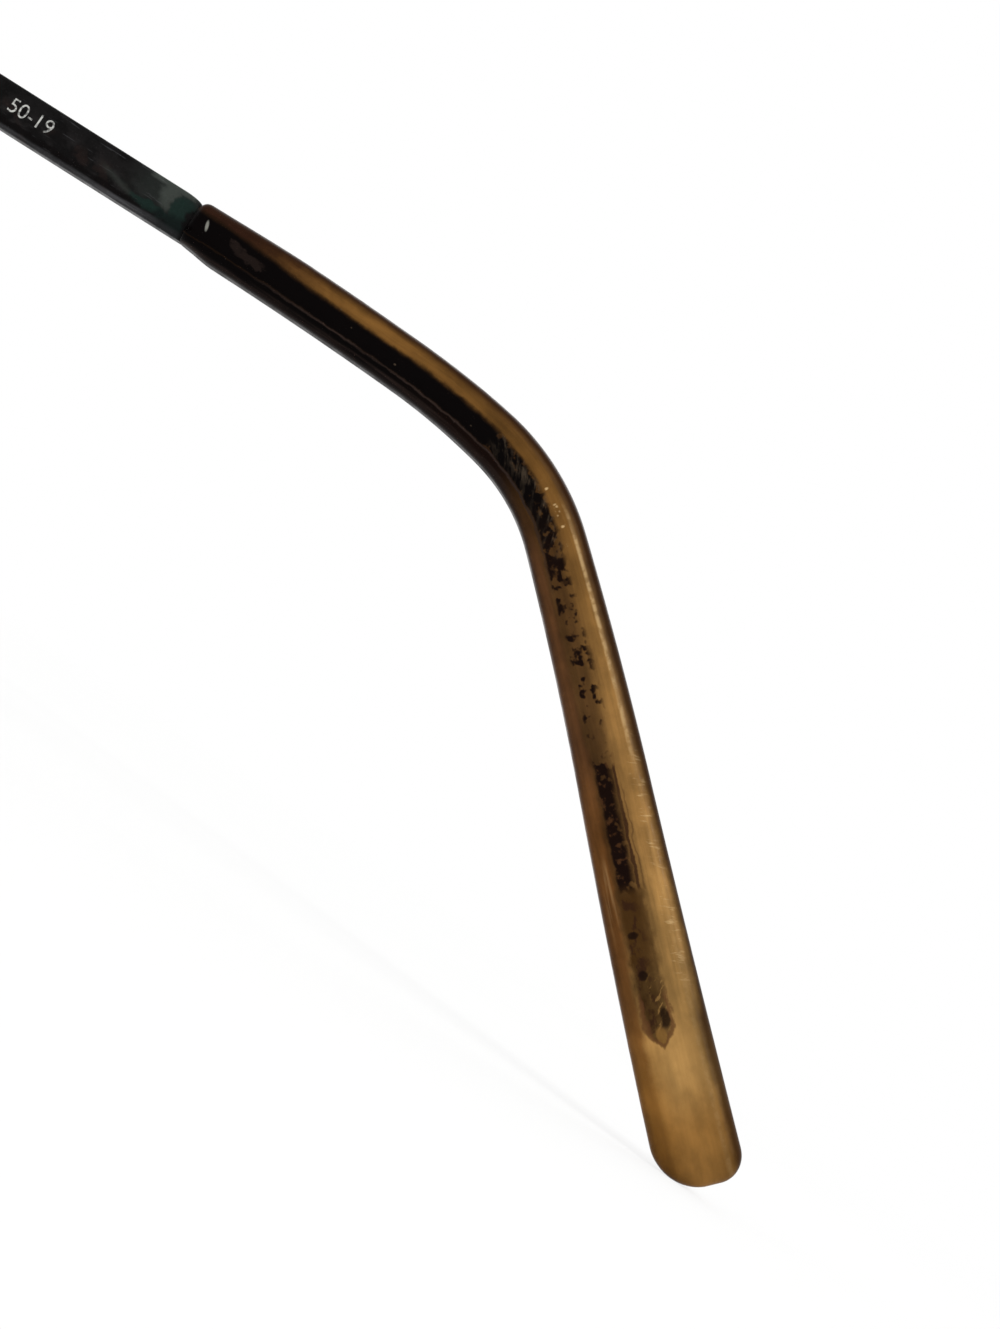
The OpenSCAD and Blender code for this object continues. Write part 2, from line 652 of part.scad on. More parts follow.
module temple_hinge(right) {
    enamel() on_front() side(right) translate(hinge) difference() {
        union() {
            knuckle(0, 1);
            leaf(1);
        }
        cylinder(h = 2 * end_h, d = hinge_screw_d + 2 * running, center = true, $fn = 32);
    }
}

module temple_bar(right) {
    enamel() stand() side(right) capped_skin(bar_rings);
}
module temple_tip(right) {
    color([0.5, 0.32, 0.14]) stand() side(right) capped_skin(concat(channel_rings, tip_rings));
}

module pad_arm(right) {
    enamel() on_front() side(right) capped_skin(arm_rings);
}
pad_head_d = 1.5;
pad_head_h = 0.45;
module in_pad(right) {
    on_front() side(right) in_axes(pad_pivot, pad_up, pad_back, pad_nose) children();
}
module pad_box(right) {
    inner = box_len - 2 * box_wall;
    enamel() in_pad(right) difference() {
        translate([-box_len / 2, -box_w / 2, box_low]) cube([box_len, box_w, box_high - box_low]);
        translate([-inner / 2, -lug_t / 2 - running, box_low + box_wall])
            cube([inner, lug_t + 2 * running, box_high - box_low]);
        rotate([90, 0, 0]) cylinder(h = 2 * box_w, d = pad_screw_d + 2 * seat, center = true, $fn = 32);
    }
}
module pad_screw(right) {
    in_pad(right) rotate([-90, 0, 0]) translate([0, 0, box_w / 2 + pad_head_h + seat])
        slotted_screw(pad_screw_d, box_w + pad_head_h + 2 * seat, pad_head_d, pad_head_h);
}
// The pad's metal lug: a disc with a hole on a neck, on a foot that the pad is moulded to.
module pad_lug(right) {
    foot = pad_low - lug_foot_t - seat;
    steel() in_pad(right) {
        difference() {
            union() {
                rotate([90, 0, 0]) cylinder(h = lug_t, r = lug_r, center = true, $fn = 48);
                translate([-lug_neck_w / 2, -lug_t / 2, 0])
                    cube([lug_neck_w, lug_t, foot + lug_foot_t / 2]);
                translate([-lug_foot_l / 2, -lug_foot_w / 2, foot])
                    cube([lug_foot_l, lug_foot_w, lug_foot_t]);
            }
            rotate([90, 0, 0])
                cylinder(h = 3 * lug_t, d = pad_screw_d + 2 * running, center = true, $fn = 32);
        }
    }
}
// The pad: a drop-shaped outline, broader below, with a flat back and a crowned face.
pad_drop = 0.14;
pad_facets = 24;
pad_back_share = 0.45;
pad_levels = [for (k = [0:8]) k / 8.2];
function pad_share(u) =
    u < pad_back_share ? mix(0.88, 1, sqrt(1 - pow(1 - u / pad_back_share, 2)))
    : sqrt(1 - pow((u - pad_back_share) / (1 - pad_back_share), 2));
function pad_outline(share) = [
    for (k = [0:pad_facets - 1])
        let (a = 360 * k / pad_facets)
        share / 2 * [pad_len * cos(a), pad_w * (1 - pad_drop * cos(a)) * sin(a)]
];
module nose_pad(right) {
    rings = [for (u = pad_levels) [for (q = pad_outline(pad_share(u))) [q.x, q.y, pad_low + pad_t * u]]];
    color([0.85, 0.84, 0.8, 0.7])
        in_pad(right) skin(rings, [0, 0, pad_low], [0, 0, pad_low + pad_t]);
}

rim(false);  // rim_left
rim(true);  // rim_right
lens(false);  // lens_left
lens(true);  // lens_right
bridge();
rim_lock(false);  // rim_lock_left
rim_lock(true);  // rim_lock_right
rim_screw(false);  // rim_screw_left
rim_screw(true);  // rim_screw_right
end_piece(false);  // end_piece_left
end_piece(true);  // end_piece_right
front_hinge(false);  // front_hinge_left
front_hinge(true);  // front_hinge_right
hinge_screw(false);  // hinge_screw_left
hinge_screw(true);  // hinge_screw_right
temple_hinge(false);  // temple_hinge_left
temple_hinge(true);  // temple_hinge_right
temple_bar(false);  // temple_bar_left
temple_bar(true);  // temple_bar_right
temple_tip(false);  // temple_tip_left
temple_tip(true);  // temple_tip_right
pad_arm(false);  // pad_arm_left
pad_arm(true);  // pad_arm_right
pad_box(false);  // pad_box_left
pad_box(true);  // pad_box_right
pad_screw(false);  // pad_screw_left
pad_screw(true);  // pad_screw_right
pad_lug(false);  // pad_lug_left
pad_lug(true);  // pad_lug_right
nose_pad(false);  // nose_pad_left
nose_pad(true);  // nose_pad_right
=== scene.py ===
"""Looks of a metal eyeglass frame with horn-coloured temple tips, seen from inside its right temple.

Sizes are millimetres in the temple's and the lens's own frames, and metres once placed.
"""
import json
import math
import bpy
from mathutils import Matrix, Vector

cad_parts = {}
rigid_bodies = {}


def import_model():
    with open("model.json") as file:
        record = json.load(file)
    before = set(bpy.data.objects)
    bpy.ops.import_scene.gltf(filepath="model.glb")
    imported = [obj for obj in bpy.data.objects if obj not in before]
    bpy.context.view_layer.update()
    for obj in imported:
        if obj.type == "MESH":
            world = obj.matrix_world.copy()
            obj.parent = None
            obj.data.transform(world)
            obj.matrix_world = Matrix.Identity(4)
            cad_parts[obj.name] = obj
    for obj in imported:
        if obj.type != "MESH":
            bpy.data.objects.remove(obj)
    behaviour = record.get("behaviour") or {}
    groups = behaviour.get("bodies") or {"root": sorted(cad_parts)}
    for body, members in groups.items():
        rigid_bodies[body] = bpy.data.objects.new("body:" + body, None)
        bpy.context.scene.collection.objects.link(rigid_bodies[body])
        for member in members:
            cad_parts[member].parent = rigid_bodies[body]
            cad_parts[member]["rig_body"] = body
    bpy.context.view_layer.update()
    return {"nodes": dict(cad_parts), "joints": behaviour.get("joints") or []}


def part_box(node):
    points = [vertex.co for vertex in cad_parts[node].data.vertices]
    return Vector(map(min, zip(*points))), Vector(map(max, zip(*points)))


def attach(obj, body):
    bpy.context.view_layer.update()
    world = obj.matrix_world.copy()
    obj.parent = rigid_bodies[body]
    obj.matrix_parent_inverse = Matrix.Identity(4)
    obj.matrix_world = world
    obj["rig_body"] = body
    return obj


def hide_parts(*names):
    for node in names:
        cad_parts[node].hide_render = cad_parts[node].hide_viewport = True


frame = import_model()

from types import SimpleNamespace

import bmesh
import bpy
import numpy as np
from mathutils import Matrix, Vector

MM = 0.001
SIDES = {"left": 1, "right": -1}

# Driving sizes of the temple, as the solids have them.
TEMPLE_LEN = 135.0
RUNS = [(15.8, 3.1), (6.9, 8.3), (7.6, 31.5), (15.5, 3.6), (23.7, -1.3)]  # length, downward turn
TIP_LEN = sum(length for length, turn in RUNS)
BAR_LEN = TEMPLE_LEN - TIP_LEN
LEAD_LEN, EASE_LEN = RUNS[0][0], RUNS[1][0]
EAR_START = LEAD_LEN + EASE_LEN
TIP_DRIFT = 2.0
TIP_H, TIP_EAR_H, TIP_END_H = 3.39, 3.77, 5.26
TIP_T, TIP_END_T, TIP_EDGE_R = 2.7, 2.2, 1.0
END_FRONT_R, END_REAR_R = 2.9, 1.7
NOSE_RUN, NOSE_RISE, NOSE_R, NOSE_DROP, NOSE_PROUD = 2.4, 8.0, 0.55, 0.33, 0.1
BAR_H, BAR_T, BAR_EDGE, BAR_HINGE_H, BAR_TAPER = 2.87, 1.1, 0.22, 4.6, 34.0
SHOULDER_LEN, SHOULDER_DROP, SHOULDER_SLIM = 1.3, 0.28, 0.1
CORE_H, CORE_END_H, CORE_T, CORE_LEN, CORE_LOW, CORE_EDGE = 2.1, 1.2, 0.8, 51.0, 0.25, 0.2
CORE_POINT, CHANNEL_LEN = 2.2, 61.0
SEAT, RUNNING = 0.02, 0.05  # clearances of what is seated and of what lies loose
PANTOSCOPIC = 8.0  # how far the front leans from square to the temples, in degrees

# Steps of the temple's skins: round a corner and along a flat of a section, and along the temple.
TIP_STEPS, BAR_STEPS = (7, 6), (5, 6)
LONG_STEP, BAR_STEP, TIP_STEP = 2.0, 1.0, 0.35
# Degrees between rings round the tip's nose, its end and the bar's shoulder.
NOSE_TURN, END_TURN, SHOULDER_TURN = 15, 4, 10
# What is left of the wire's section at its own end and at its channel's.
WIRE_POINT, CHANNEL_POINT = 0.3, 0.12
EDGE_SHARE = 0.45  # the most of the tip's thickness that an edge rounds

# Driving sizes of the eyes, as the solids have them.
LENS_W, LENS_H, LENS_T, BASE_R, WRAP = 50.0, 35.0, 1.8, 110.0, 4.0
UPPER_POWER, LOWER_POWER, TOP_FLARE, OUTER_LIFT = 3.0, 2.5, 0.05, 0.04
LENS_EDGE, BEVEL_GAP, BEVEL_HALF = 0.7, 0.05, 0.4875
# Steps round a lens, degrees to each side that its outline's direction is taken over, and its rings' shares.
LENS_STEPS, CHORD_ANGLE = 288, 0.25
LENS_SHARES = [0.115 * k for k in range(1, 9)] + [1.0]

# Angles in degrees past which an edge is sharp, is bevelled, or parts two faces of a refined piece.
SHARP_ANGLE, BEVEL_ANGLE, FLAT_ANGLE, CURVE_ANGLE = 38, 28, 0.5, 25
BEVEL_STEPS, SAME_POINT = 2, 0.002


# Curves and rings

def mix(a, b, u):
    return a + (b - a) * u


def smooth(u):
    u = min(1.0, max(0.0, u))
    return u * u * (3 - 2 * u)


def heading(s):
    """Downward angle of the tip's middle line, s along it, in degrees."""
    turned = 0.0
    for length, turn in RUNS:
        turned += turn * min(1.0, max(0.0, s) / length)
        s -= length
    return turned


def walk(s):
    """Place along the bend: back and up from the tip's start."""
    back = rise = start = 0.0
    for length, turn in RUNS:
        if s <= 0:
            break
        part = min(s, length)
        radius = length / math.radians(turn)
        a, b = math.radians(start), math.radians(start + turn * part / length)
        back += radius * (math.sin(b) - math.sin(a))
        rise += radius * (math.cos(b) - math.cos(a))
        start += turn
        s -= length
    return back, rise


def drift(s):
    """How far inward the tip's middle line has come, s along it."""
    u = max(0.0, s - EAR_START) / (TIP_LEN - EAR_START)
    return TIP_DRIFT * u * u


def rounding(s, radius):
    """How far an edge has come in, s along the tip, where the end is rounded by radius."""
    u = min(1.0, max(0.0, (s - (TIP_LEN - radius)) / radius))
    return radius * (1 - math.sqrt(1 - u * u))


def nose_cut(s):
    """How far the tip's rounded start lies within its full section."""
    u = min(1.0, max(0.0, 1 - s / NOSE_R))
    return NOSE_DROP * (1 - math.sqrt(1 - u * u))


def tip_height(s):
    if s < EAR_START:
        return mix(TIP_H, TIP_EAR_H, smooth((s - LEAD_LEN) / (2 * EASE_LEN)))
    u = min(1.0, (s - EAR_START) / (TIP_LEN - EAR_START))
    return mix(mix(TIP_H, TIP_EAR_H, 0.5), TIP_END_H, mix(u, smooth(u), 0.5))


def tip_above(s):
    full = mix(BAR_H / 2 + NOSE_PROUD, tip_height(s) / 2, smooth(s / NOSE_RISE))
    return full - rounding(s, END_REAR_R) - nose_cut(s)


def tip_below(s):
    return mix(BAR_H / 2 + SEAT, tip_height(s) / 2, smooth(s / NOSE_RUN)) - rounding(s, END_FRONT_R)


def tip_thick(s):
    u = (s - EAR_START) / (TIP_LEN - EAR_START)
    return mix(TIP_T, TIP_END_T, smooth(u)) - 2 * nose_cut(s) - 2 * rounding(s, TIP_END_T / 2)


def bar_height(y):
    return mix(BAR_HINGE_H, BAR_H, smooth(y / BAR_TAPER))


def rounded(below, above, thick, radius, round_steps, flat_steps):
    """A section as (up, sideways) points, anticlockwise, with round corners and points along its flats."""
    half = thick / 2
    radius = min(radius, half, (above + below) / 2)
    middles = [(above - radius, half - radius), (radius - below, half - radius),
               (radius - below, radius - half), (above - radius, radius - half)]
    points = []
    for corner, (up, side) in enumerate(middles):
        for k in range(round_steps + 1):
            angle = math.radians(90 * (corner + k / round_steps))
            points.append((up + radius * math.cos(angle), side + radius * math.sin(angle)))
        ahead = middles[(corner + 1) % 4]
        turn = math.radians(90 * (corner + 1))
        a = points[-1]
        b = (ahead[0] + radius * math.cos(turn), ahead[1] + radius * math.sin(turn))
        for k in range(1, flat_steps):
            points.append((mix(a[0], b[0], k / flat_steps), mix(a[1], b[1], k / flat_steps)))
    return points


# Meshes

hinge = Vector(next(j["pos_m"] for j in frame["joints"] if j["name"] == "temple_left_fold")) / MM
hinge_axis = next(j["axis"] for j in frame["joints"] if j["name"] == "temple_left_fold")
lean = math.degrees(math.atan2(-hinge_axis[1], hinge_axis[2]))  # of the front
pitch = lean - PANTOSCOPIC  # of the temples
bar_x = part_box("temple_bar_left")[1].x / MM - BAR_T / 2


def temple_place(point, side):
    """A point of the left temple's own frame, hinge at the origin, as a point of that side's temple."""
    x, y, z = point
    a = math.radians(pitch)
    return Vector((
        SIDES[side] * (bar_x + x),
        hinge.y + y * math.cos(a) - z * math.sin(a),
        hinge.z + y * math.sin(a) + z * math.cos(a),
    )) * MM


def temple_point(s, up, sideways):
    """A point s along from the tip's start, up and sideways from the middle line."""
    if s <= 0:
        return (sideways, BAR_LEN + s, up)
    back, rise = walk(s)
    a = math.radians(heading(s))
    return (sideways - drift(s), BAR_LEN + back + up * math.sin(a), rise + up * math.cos(a))


def mesh_object(name, points, faces, flip=False):
    """A piece from points in metres. Mirrored pieces have their faces flipped."""
    mesh = bpy.data.meshes.new(name)
    mesh.from_pydata(points, [], [tuple(reversed(f)) for f in faces] if flip else faces)
    mesh.validate()
    mesh.shade_smooth()
    mesh.set_sharp_from_angle(angle=math.radians(SHARP_ANGLE))
    piece = bpy.data.objects.new(name, mesh)
    bpy.context.scene.collection.objects.link(piece)
    return piece


def skin_faces(count, sides):
    """Faces over count rings of equal length, with a closing point after them for each end."""
    faces = []
    for i in range(count - 1):
        for j in range(sides):
            a, b = i * sides + j, i * sides + (j + 1) % sides
            faces.append((a, a + sides, b + sides, b))
    first, last = count * sides, count * sides + 1
    for j in range(sides):
        k = (j + 1) % sides
        faces.append((j, k, first))
        faces.append(((count - 1) * sides + k, (count - 1) * sides + j, last))
    return faces


def temple_skin(name, rings, side):
    """A closed piece of the temple over rings of (s, section, height). Its points keep where they lie."""
    rows = [(s, up, sideways, height) for s, section, height in rings for up, sideways in section]
    for s, section, height in (rings[0], rings[-1]):
        middle = np.mean(section, axis=0)
        rows.append((s, middle[0], middle[1], height))
    points = [temple_place(temple_point(*row[:3]), side) for row in rows]
    piece = mesh_object(name, points, skin_faces(len(rings), len(rings[0][1])), flip=side == "left")
    place = piece.data.attributes.new("place", "FLOAT_VECTOR", "POINT")
    place.data.foreach_set("vector", np.array([row[:3] for row in rows], np.float32).ravel())
    across = piece.data.attributes.new("across", "FLOAT", "POINT")
    across.data.foreach_set("value", np.array([-row[1] / row[3] for row in rows], np.float32))
    # The photographed face is the right temple's inner one, and the other faces wear in their own way.
    shown = piece.data.attributes.new("shown", "FLOAT", "POINT")
    shown.data.foreach_set("value", np.full(len(rows), side == "right", np.float32))
    return piece


def stations(start, end, step):
    """Even places from start to end, about a step apart."""
    count = max(1, round((end - start) / step))
    return [mix(start, end, k / count) for k in range(count + 1)]


def core_section(s, gap=0, share=1, steps=BAR_STEPS):
    """The wire's section s along the tip shrunk to share, or its channel's with a gap round it."""
    up = share * mix(CORE_H, CORE_END_H, smooth(s / CORE_LEN)) / 2 + gap
    thick = share * CORE_T + 2 * gap
    return rounded(up + CORE_LOW, up - CORE_LOW, thick, CORE_EDGE * share + gap, *steps)


def make_tip(side):
    """The tip: a skin from the blind end of its channel to the mouth, and round the outside to its end."""
    rings = [(CHANNEL_LEN, core_section(CORE_LEN, 0, CHANNEL_POINT, TIP_STEPS), TIP_END_H)]
    for s in reversed(stations(0, CHANNEL_LEN - CORE_POINT, LONG_STEP)):
        rings.append((s, core_section(min(s, CORE_LEN), RUNNING, 1, TIP_STEPS), TIP_END_H))
    nose = [NOSE_R * (1 - math.cos(math.radians(a))) for a in range(0, 91, NOSE_TURN)]
    length = stations(NOSE_R, TIP_LEN - END_FRONT_R, TIP_STEP)[1:-1]
    end = [TIP_LEN - END_FRONT_R * (1 - math.sin(math.radians(a))) for a in range(0, 89, END_TURN)]
    for s in nose + length + end:
        thick = max(SEAT, tip_thick(s))
        edge = min(TIP_EDGE_R, EDGE_SHARE * thick)
        rings.append((s, rounded(tip_below(s), tip_above(s), thick, edge, *TIP_STEPS), tip_height(s)))
    return temple_skin(f"tip_{side}", rings, side)


def make_bar(side):
    """The bar: mitred at the hinge, tapered, rounded off at its shoulder and drawn on as the core wire."""
    rings = []
    shoulder = BAR_LEN - SEAT - SHOULDER_LEN
    for y in stations(0, BAR_TAPER, BAR_STEP) + stations(BAR_TAPER, shoulder, LONG_STEP)[1:]:
        half = bar_height(y) / 2
        rings.append((y - BAR_LEN, rounded(half, half, BAR_T, BAR_EDGE, *BAR_STEPS), 2 * half))
    for a in range(SHOULDER_TURN, 91, SHOULDER_TURN):
        drop = 1 - math.cos(math.radians(a))
        above = BAR_H / 2 - SHOULDER_DROP * drop
        section = rounded(BAR_H / 2, above, BAR_T - SHOULDER_SLIM * drop, BAR_EDGE, *BAR_STEPS)
        rings.append((-SEAT - SHOULDER_LEN * (1 - math.sin(math.radians(a))), section, BAR_H))
    rings.append((-SEAT, core_section(0), BAR_H))
    rings += [(s, core_section(s), BAR_H) for s in stations(NOSE_R, CORE_LEN - CORE_POINT, LONG_STEP)]
    rings.append((CORE_LEN, core_section(CORE_LEN, 0, WIRE_POINT), BAR_H))
    piece = temple_skin(f"bar_{side}", rings, side)
    mitre(piece, side, len(rings[0][1]))
    return piece


def mitre(piece, side, count):
    """Cuts the bar's hinge end to the front's lean: its first ring and closing point move along the bar."""
    slope = math.tan(math.radians(PANTOSCOPIC))
    a = math.radians(pitch)
    along = Vector((0, math.cos(a), math.sin(a)))
    up = Vector((0, -math.sin(a), math.cos(a)))
    foot = temple_place((0, 0, 0), side)
    for index in list(range(count)) + [len(piece.data.vertices) - 2]:
        vertex = piece.data.vertices[index]
        height = (vertex.co - foot).dot(up)
        vertex.co += along * (RUNNING / math.cos(math.radians(PANTOSCOPIC)) * MM - height * slope)


def outline(t):
    """The eye's outline, x towards the temple and z up, t round it in degrees."""
    c, s = math.cos(math.radians(t)), math.sin(math.radians(t))
    power = UPPER_POWER if s >= 0 else LOWER_POWER
    x = LENS_W / 2 * math.copysign(abs(c) ** (2 / power), c)
    z = LENS_H / 2 * math.copysign(abs(s) ** (2 / power), s)
    wide = x * (1 + TOP_FLARE * z / (LENS_H / 2))
    return np.array([wide, z + OUTER_LIFT * wide])


def eye_point(t, share, out, deep):
    """A point of the eye: share is 1 on the outline, out is past it and deep is behind the middle layer."""
    p = outline(t) * share
    sag = BASE_R - math.sqrt(BASE_R * BASE_R - p @ p)
    back = np.array([-p[0], BASE_R - sag, -p[1]])
    back /= np.linalg.norm(back)
    chord = outline(t + CHORD_ANGLE) - outline(t - CHORD_ANGLE)
    outward = np.array([chord[1], 0, -chord[0]]) / np.linalg.norm(chord)
    outward -= back * (outward @ back)
    outward /= np.linalg.norm(outward)
    return np.array([p[0], sag, p[1]]) + outward * out + back * deep


def own_points(node):
    """A node's points in the front's own frame, unleaned, in millimetres."""
    turn = Matrix.Rotation(-math.radians(lean), 3, "X")
    return np.array([turn @ v.co for v in frame["nodes"][node].data.vertices]) / MM


def make_lens(side):
    """The lens: finely curved faces and the bevel that lies in the rim's groove."""
    half = LENS_T / 2
    # Rings over the front, the bevel and the back: share of the outline, out past it, and depth.
    layers = [(share, -LENS_EDGE * (share == 1.0), -half) for share in LENS_SHARES]
    layers += [(1.0, -LENS_EDGE, -BEVEL_HALF), (1.0, -BEVEL_GAP, 0.0), (1.0, -LENS_EDGE, BEVEL_HALF)]
    layers += [(share, -LENS_EDGE * (share == 1.0), half) for share in reversed(LENS_SHARES)]
    rows = [eye_point(360 * k / LENS_STEPS, *layer) for layer in layers for k in range(LENS_STEPS)]
    rows += [np.array([0, -half, 0]), np.array([0, half, 0])]
    turn = Matrix.Rotation(math.radians(WRAP), 3, "Z")
    points = np.array([turn @ Vector(p) for p in rows])
    known = own_points("lens_left")
    points += (known.min(0) + known.max(0) - points.min(0) - points.max(0)) / 2
    lay = Matrix.Rotation(math.radians(lean), 3, "X")
    flip = Vector((SIDES[side], 1, 1)) * MM
    placed = [(lay @ Vector(p)) * flip for p in points]
    piece = mesh_object(f"glass_{side}", placed, skin_faces(len(layers), LENS_STEPS), flip=side == "right")
    ground = piece.data.attributes.new("ground", "FLOAT", "POINT")
    edge = [layer[0] == 1.0 for layer in layers for k in range(LENS_STEPS)] + [False, False]
    ground.data.foreach_set("value", np.array(edge, np.float32))
    return piece


def refined(node, name, edge, soften):
    """A copy of a node with its edges rounded by edge, in millimetres, and soften rounds of subdivision."""
    bm = bmesh.new()
    bm.from_mesh(frame["nodes"][node].data)
    bmesh.ops.remove_doubles(bm, verts=bm.verts, dist=SAME_POINT * MM)
    if soften:
        bmesh.ops.join_triangles(
            bm, faces=bm.faces, angle_face_threshold=math.radians(CURVE_ANGLE),
            angle_shape_threshold=math.pi, cmp_seam=False, cmp_sharp=False, cmp_uvs=False, cmp_vcols=False,
            cmp_materials=False)
    else:
        bmesh.ops.dissolve_limit(bm, angle_limit=math.radians(FLAT_ANGLE), verts=bm.verts, edges=bm.edges)
    mesh = bpy.data.meshes.new(name)
    bm.to_mesh(mesh)
    bm.free()
    piece = bpy.data.objects.new(name, mesh)
    bpy.context.scene.collection.objects.link(piece)
    if edge:
        bevel = piece.modifiers.new("edges", "BEVEL")
        bevel.width = edge * MM
        bevel.segments = BEVEL_STEPS
        bevel.limit_method = "ANGLE"
        bevel.angle_limit = math.radians(BEVEL_ANGLE)
        bevel.use_clamp_overlap = True
    if soften:
        subdivision = piece.modifiers.new("curve", "SUBSURF")
        subdivision.levels = subdivision.render_levels = soften
    apply_modifiers(piece)
    piece.data.shade_smooth()
    piece.data.set_sharp_from_angle(angle=math.radians(SHARP_ANGLE))
    return piece


def apply_modifiers(piece):
    shown = piece.evaluated_get(bpy.context.evaluated_depsgraph_get())
    mesh = bpy.data.meshes.new_from_object(shown)
    piece.modifiers.clear()
    piece.data = mesh


# Materials

GRAIN_SHIFT = 37.0  # between the two temples, so that they don't wear alike


def colour(code):
    """A linear colour from a plain six-digit code."""
    parts = [int(code[k:k + 2], 16) / 255 for k in (0, 2, 4)]
    return tuple(c / 12.92 if c <= 0.04045 else ((c + 0.055) / 1.055) ** 2.4 for c in parts) + (1.0,)


class Nodes:
    """Short calls that add nodes to a tree and join them."""

    def __init__(self, tree):
        self.tree = tree

    def feed(self, socket, value):
        if isinstance(value, bpy.types.NodeSocket):
            self.tree.links.new(value, socket)
        else:
            socket.default_value = value

    def node(self, kind, inputs, **settings):
        made = self.tree.nodes.new("ShaderNode" + kind)
        for key, value in settings.items():
            setattr(made, key, value)
        for key, value in inputs.items():
            self.feed(made.inputs[key], value)
        return made

    def stretch(self, vector, x, y, z):
        return self.node("VectorMath", {0: vector, 1: (x, y, z)}, operation="MULTIPLY").outputs[0]

    def split(self, vector):
        return self.node("SeparateXYZ", {0: vector}).outputs

    def join(self, x, y, z):
        return self.node("CombineXYZ", {0: x, 1: y, 2: z}).outputs[0]

    def maths(self, operation, a, b=0.0):
        return self.node("Math", {0: a, 1: b}, operation=operation).outputs[0]

    def times(self, *values):
        result = values[0]
        for value in values[1:]:
            result = self.maths("MULTIPLY", result, value)
        return result

    def plus(self, *values):
        result = values[0]
        for value in values[1:]:
            result = self.maths("ADD", result, value)
        return result

    def most(self, *values):
        result = values[0]
        for value in values[1:]:
            result = self.maths("MAXIMUM", result, value)
        return result

    def without(self, share):
        """One less a share."""
        return self.maths("SUBTRACT", 1.0, share)

    def rise(self, value, low, high, start=0.0, end=1.0):
        """Start below low, end above high and smooth between."""
        made = self.node("MapRange", {0: value, 1: low, 2: high, 3: start, 4: end})
        made.interpolation_type = "SMOOTHSTEP"
        return made.outputs[0]

    def band(self, value, low, high, soft):
        """One between low and high, and zero outside them."""
        up = self.rise(value, low - soft / 2, low + soft / 2)
        down = self.rise(value, high - soft / 2, high + soft / 2, 1.0, 0.0)
        return self.times(up, down)

    def spot(self, x, y, middle, size, soft=0.5):
        """One within an ellipse, and zero outside it."""
        dx = self.maths("DIVIDE", self.plus(x, -middle[0]), size[0])
        dy = self.maths("DIVIDE", self.plus(y, -middle[1]), size[1])
        away = self.plus(self.times(dx, dx), self.times(dy, dy))
        return self.rise(away, 1 - soft, 1 + soft, 1.0, 0.0)

    def noise(self, vector, scale, detail=3.0, rough=0.55):
        inputs = {"Vector": vector, "Scale": scale, "Detail": detail, "Roughness": rough}
        return self.node("TexNoise", inputs).outputs[0]

    def grains(self, vector, scale):
        return self.node("TexVoronoi", {"Vector": vector, "Scale": scale}).outputs[0]

    def curve(self, value, stops, reach):
        """A value that runs through (place, value) stops, with places up to reach."""
        ramp = self.node("ValToRGB", {0: self.maths("DIVIDE", value, reach)})
        elements = ramp.color_ramp.elements
        while len(elements) < len(stops):
            elements.new(1.0)
        for element, (place, level) in zip(elements, stops):
            element.position = place / reach
            element.color = (level, level, level, 1)
        return ramp.outputs[0]

    def tint(self, share, a, b, blend="MIX"):
        """Colour a with share of b laid over it."""
        return self.node("Mix", {0: share, 6: a, 7: b}, data_type="RGBA", blend_type=blend).outputs[2]

    def shade(self, tone, level):
        """The colour made darker below a level of 1 and lighter above it."""
        return self.tint(1.0, tone, level, "MULTIPLY")

    def seen(self):
        """One to the camera, and in gloss and glass."""
        path = self.node("LightPath", {}).outputs
        return self.most(path["Is Camera Ray"], path["Is Glossy Ray"], path["Is Transmission Ray"])


class Paint(Nodes):
    """A material, with its shader and the places that its marks lie at."""

    def __init__(self, name, **sockets):
        self.material = bpy.data.materials.new(name)
        self.material.use_nodes = True
        super().__init__(self.material.node_tree)
        self.shader = next(n for n in self.tree.nodes if n.type == "BSDF_PRINCIPLED")
        for key, value in sockets.items():
            self.shader.inputs[key.replace("_", " ")].default_value = value

    def set(self, socket, value):
        self.feed(self.shader.inputs[socket], value)

    def bump(self, height, distance, strength=1.0):
        """Raises the surface by height times distance, in millimetres."""
        made = self.node("Bump", {"Height": height, "Distance": distance * MM, "Strength": strength})
        self.set("Normal", made.outputs[0])

    def kept(self, name):
        """A value that the mesh's points carry."""
        return self.node("Attribute", {}, attribute_name=name)

    def millimetres(self):
        """The place on the resting part, in millimetres."""
        here = self.node("TexCoord", {}).outputs["Object"]
        return self.node("VectorMath", {0: here, "Scale": 1 / MM}, operation="SCALE").outputs[0]

    def temple(self):
        """Places on a temple: along is millimetres from the tip's start, less than 0 on the bar.

        Up and side are millimetres from the middle line. Across is -0.5 at the upper edge and 0.5 at the
        lower one. Place is for grain, and shown is one on the face that the photograph shows.
        """
        place = self.kept("place").outputs["Vector"]
        right = self.kept("shown").outputs["Fac"]
        along, up, side = self.split(place)
        apart = self.join(0.0, 0.0, self.times(self.without(right), GRAIN_SHIFT))
        return SimpleNamespace(
            along=along, up=up, side=side, across=self.kept("across").outputs["Fac"],
            place=self.node("VectorMath", {0: place, 1: apart}).outputs[0],
            shown=self.times(right, self.rise(side, -0.3, 0.3, 1.0, 0.0)))


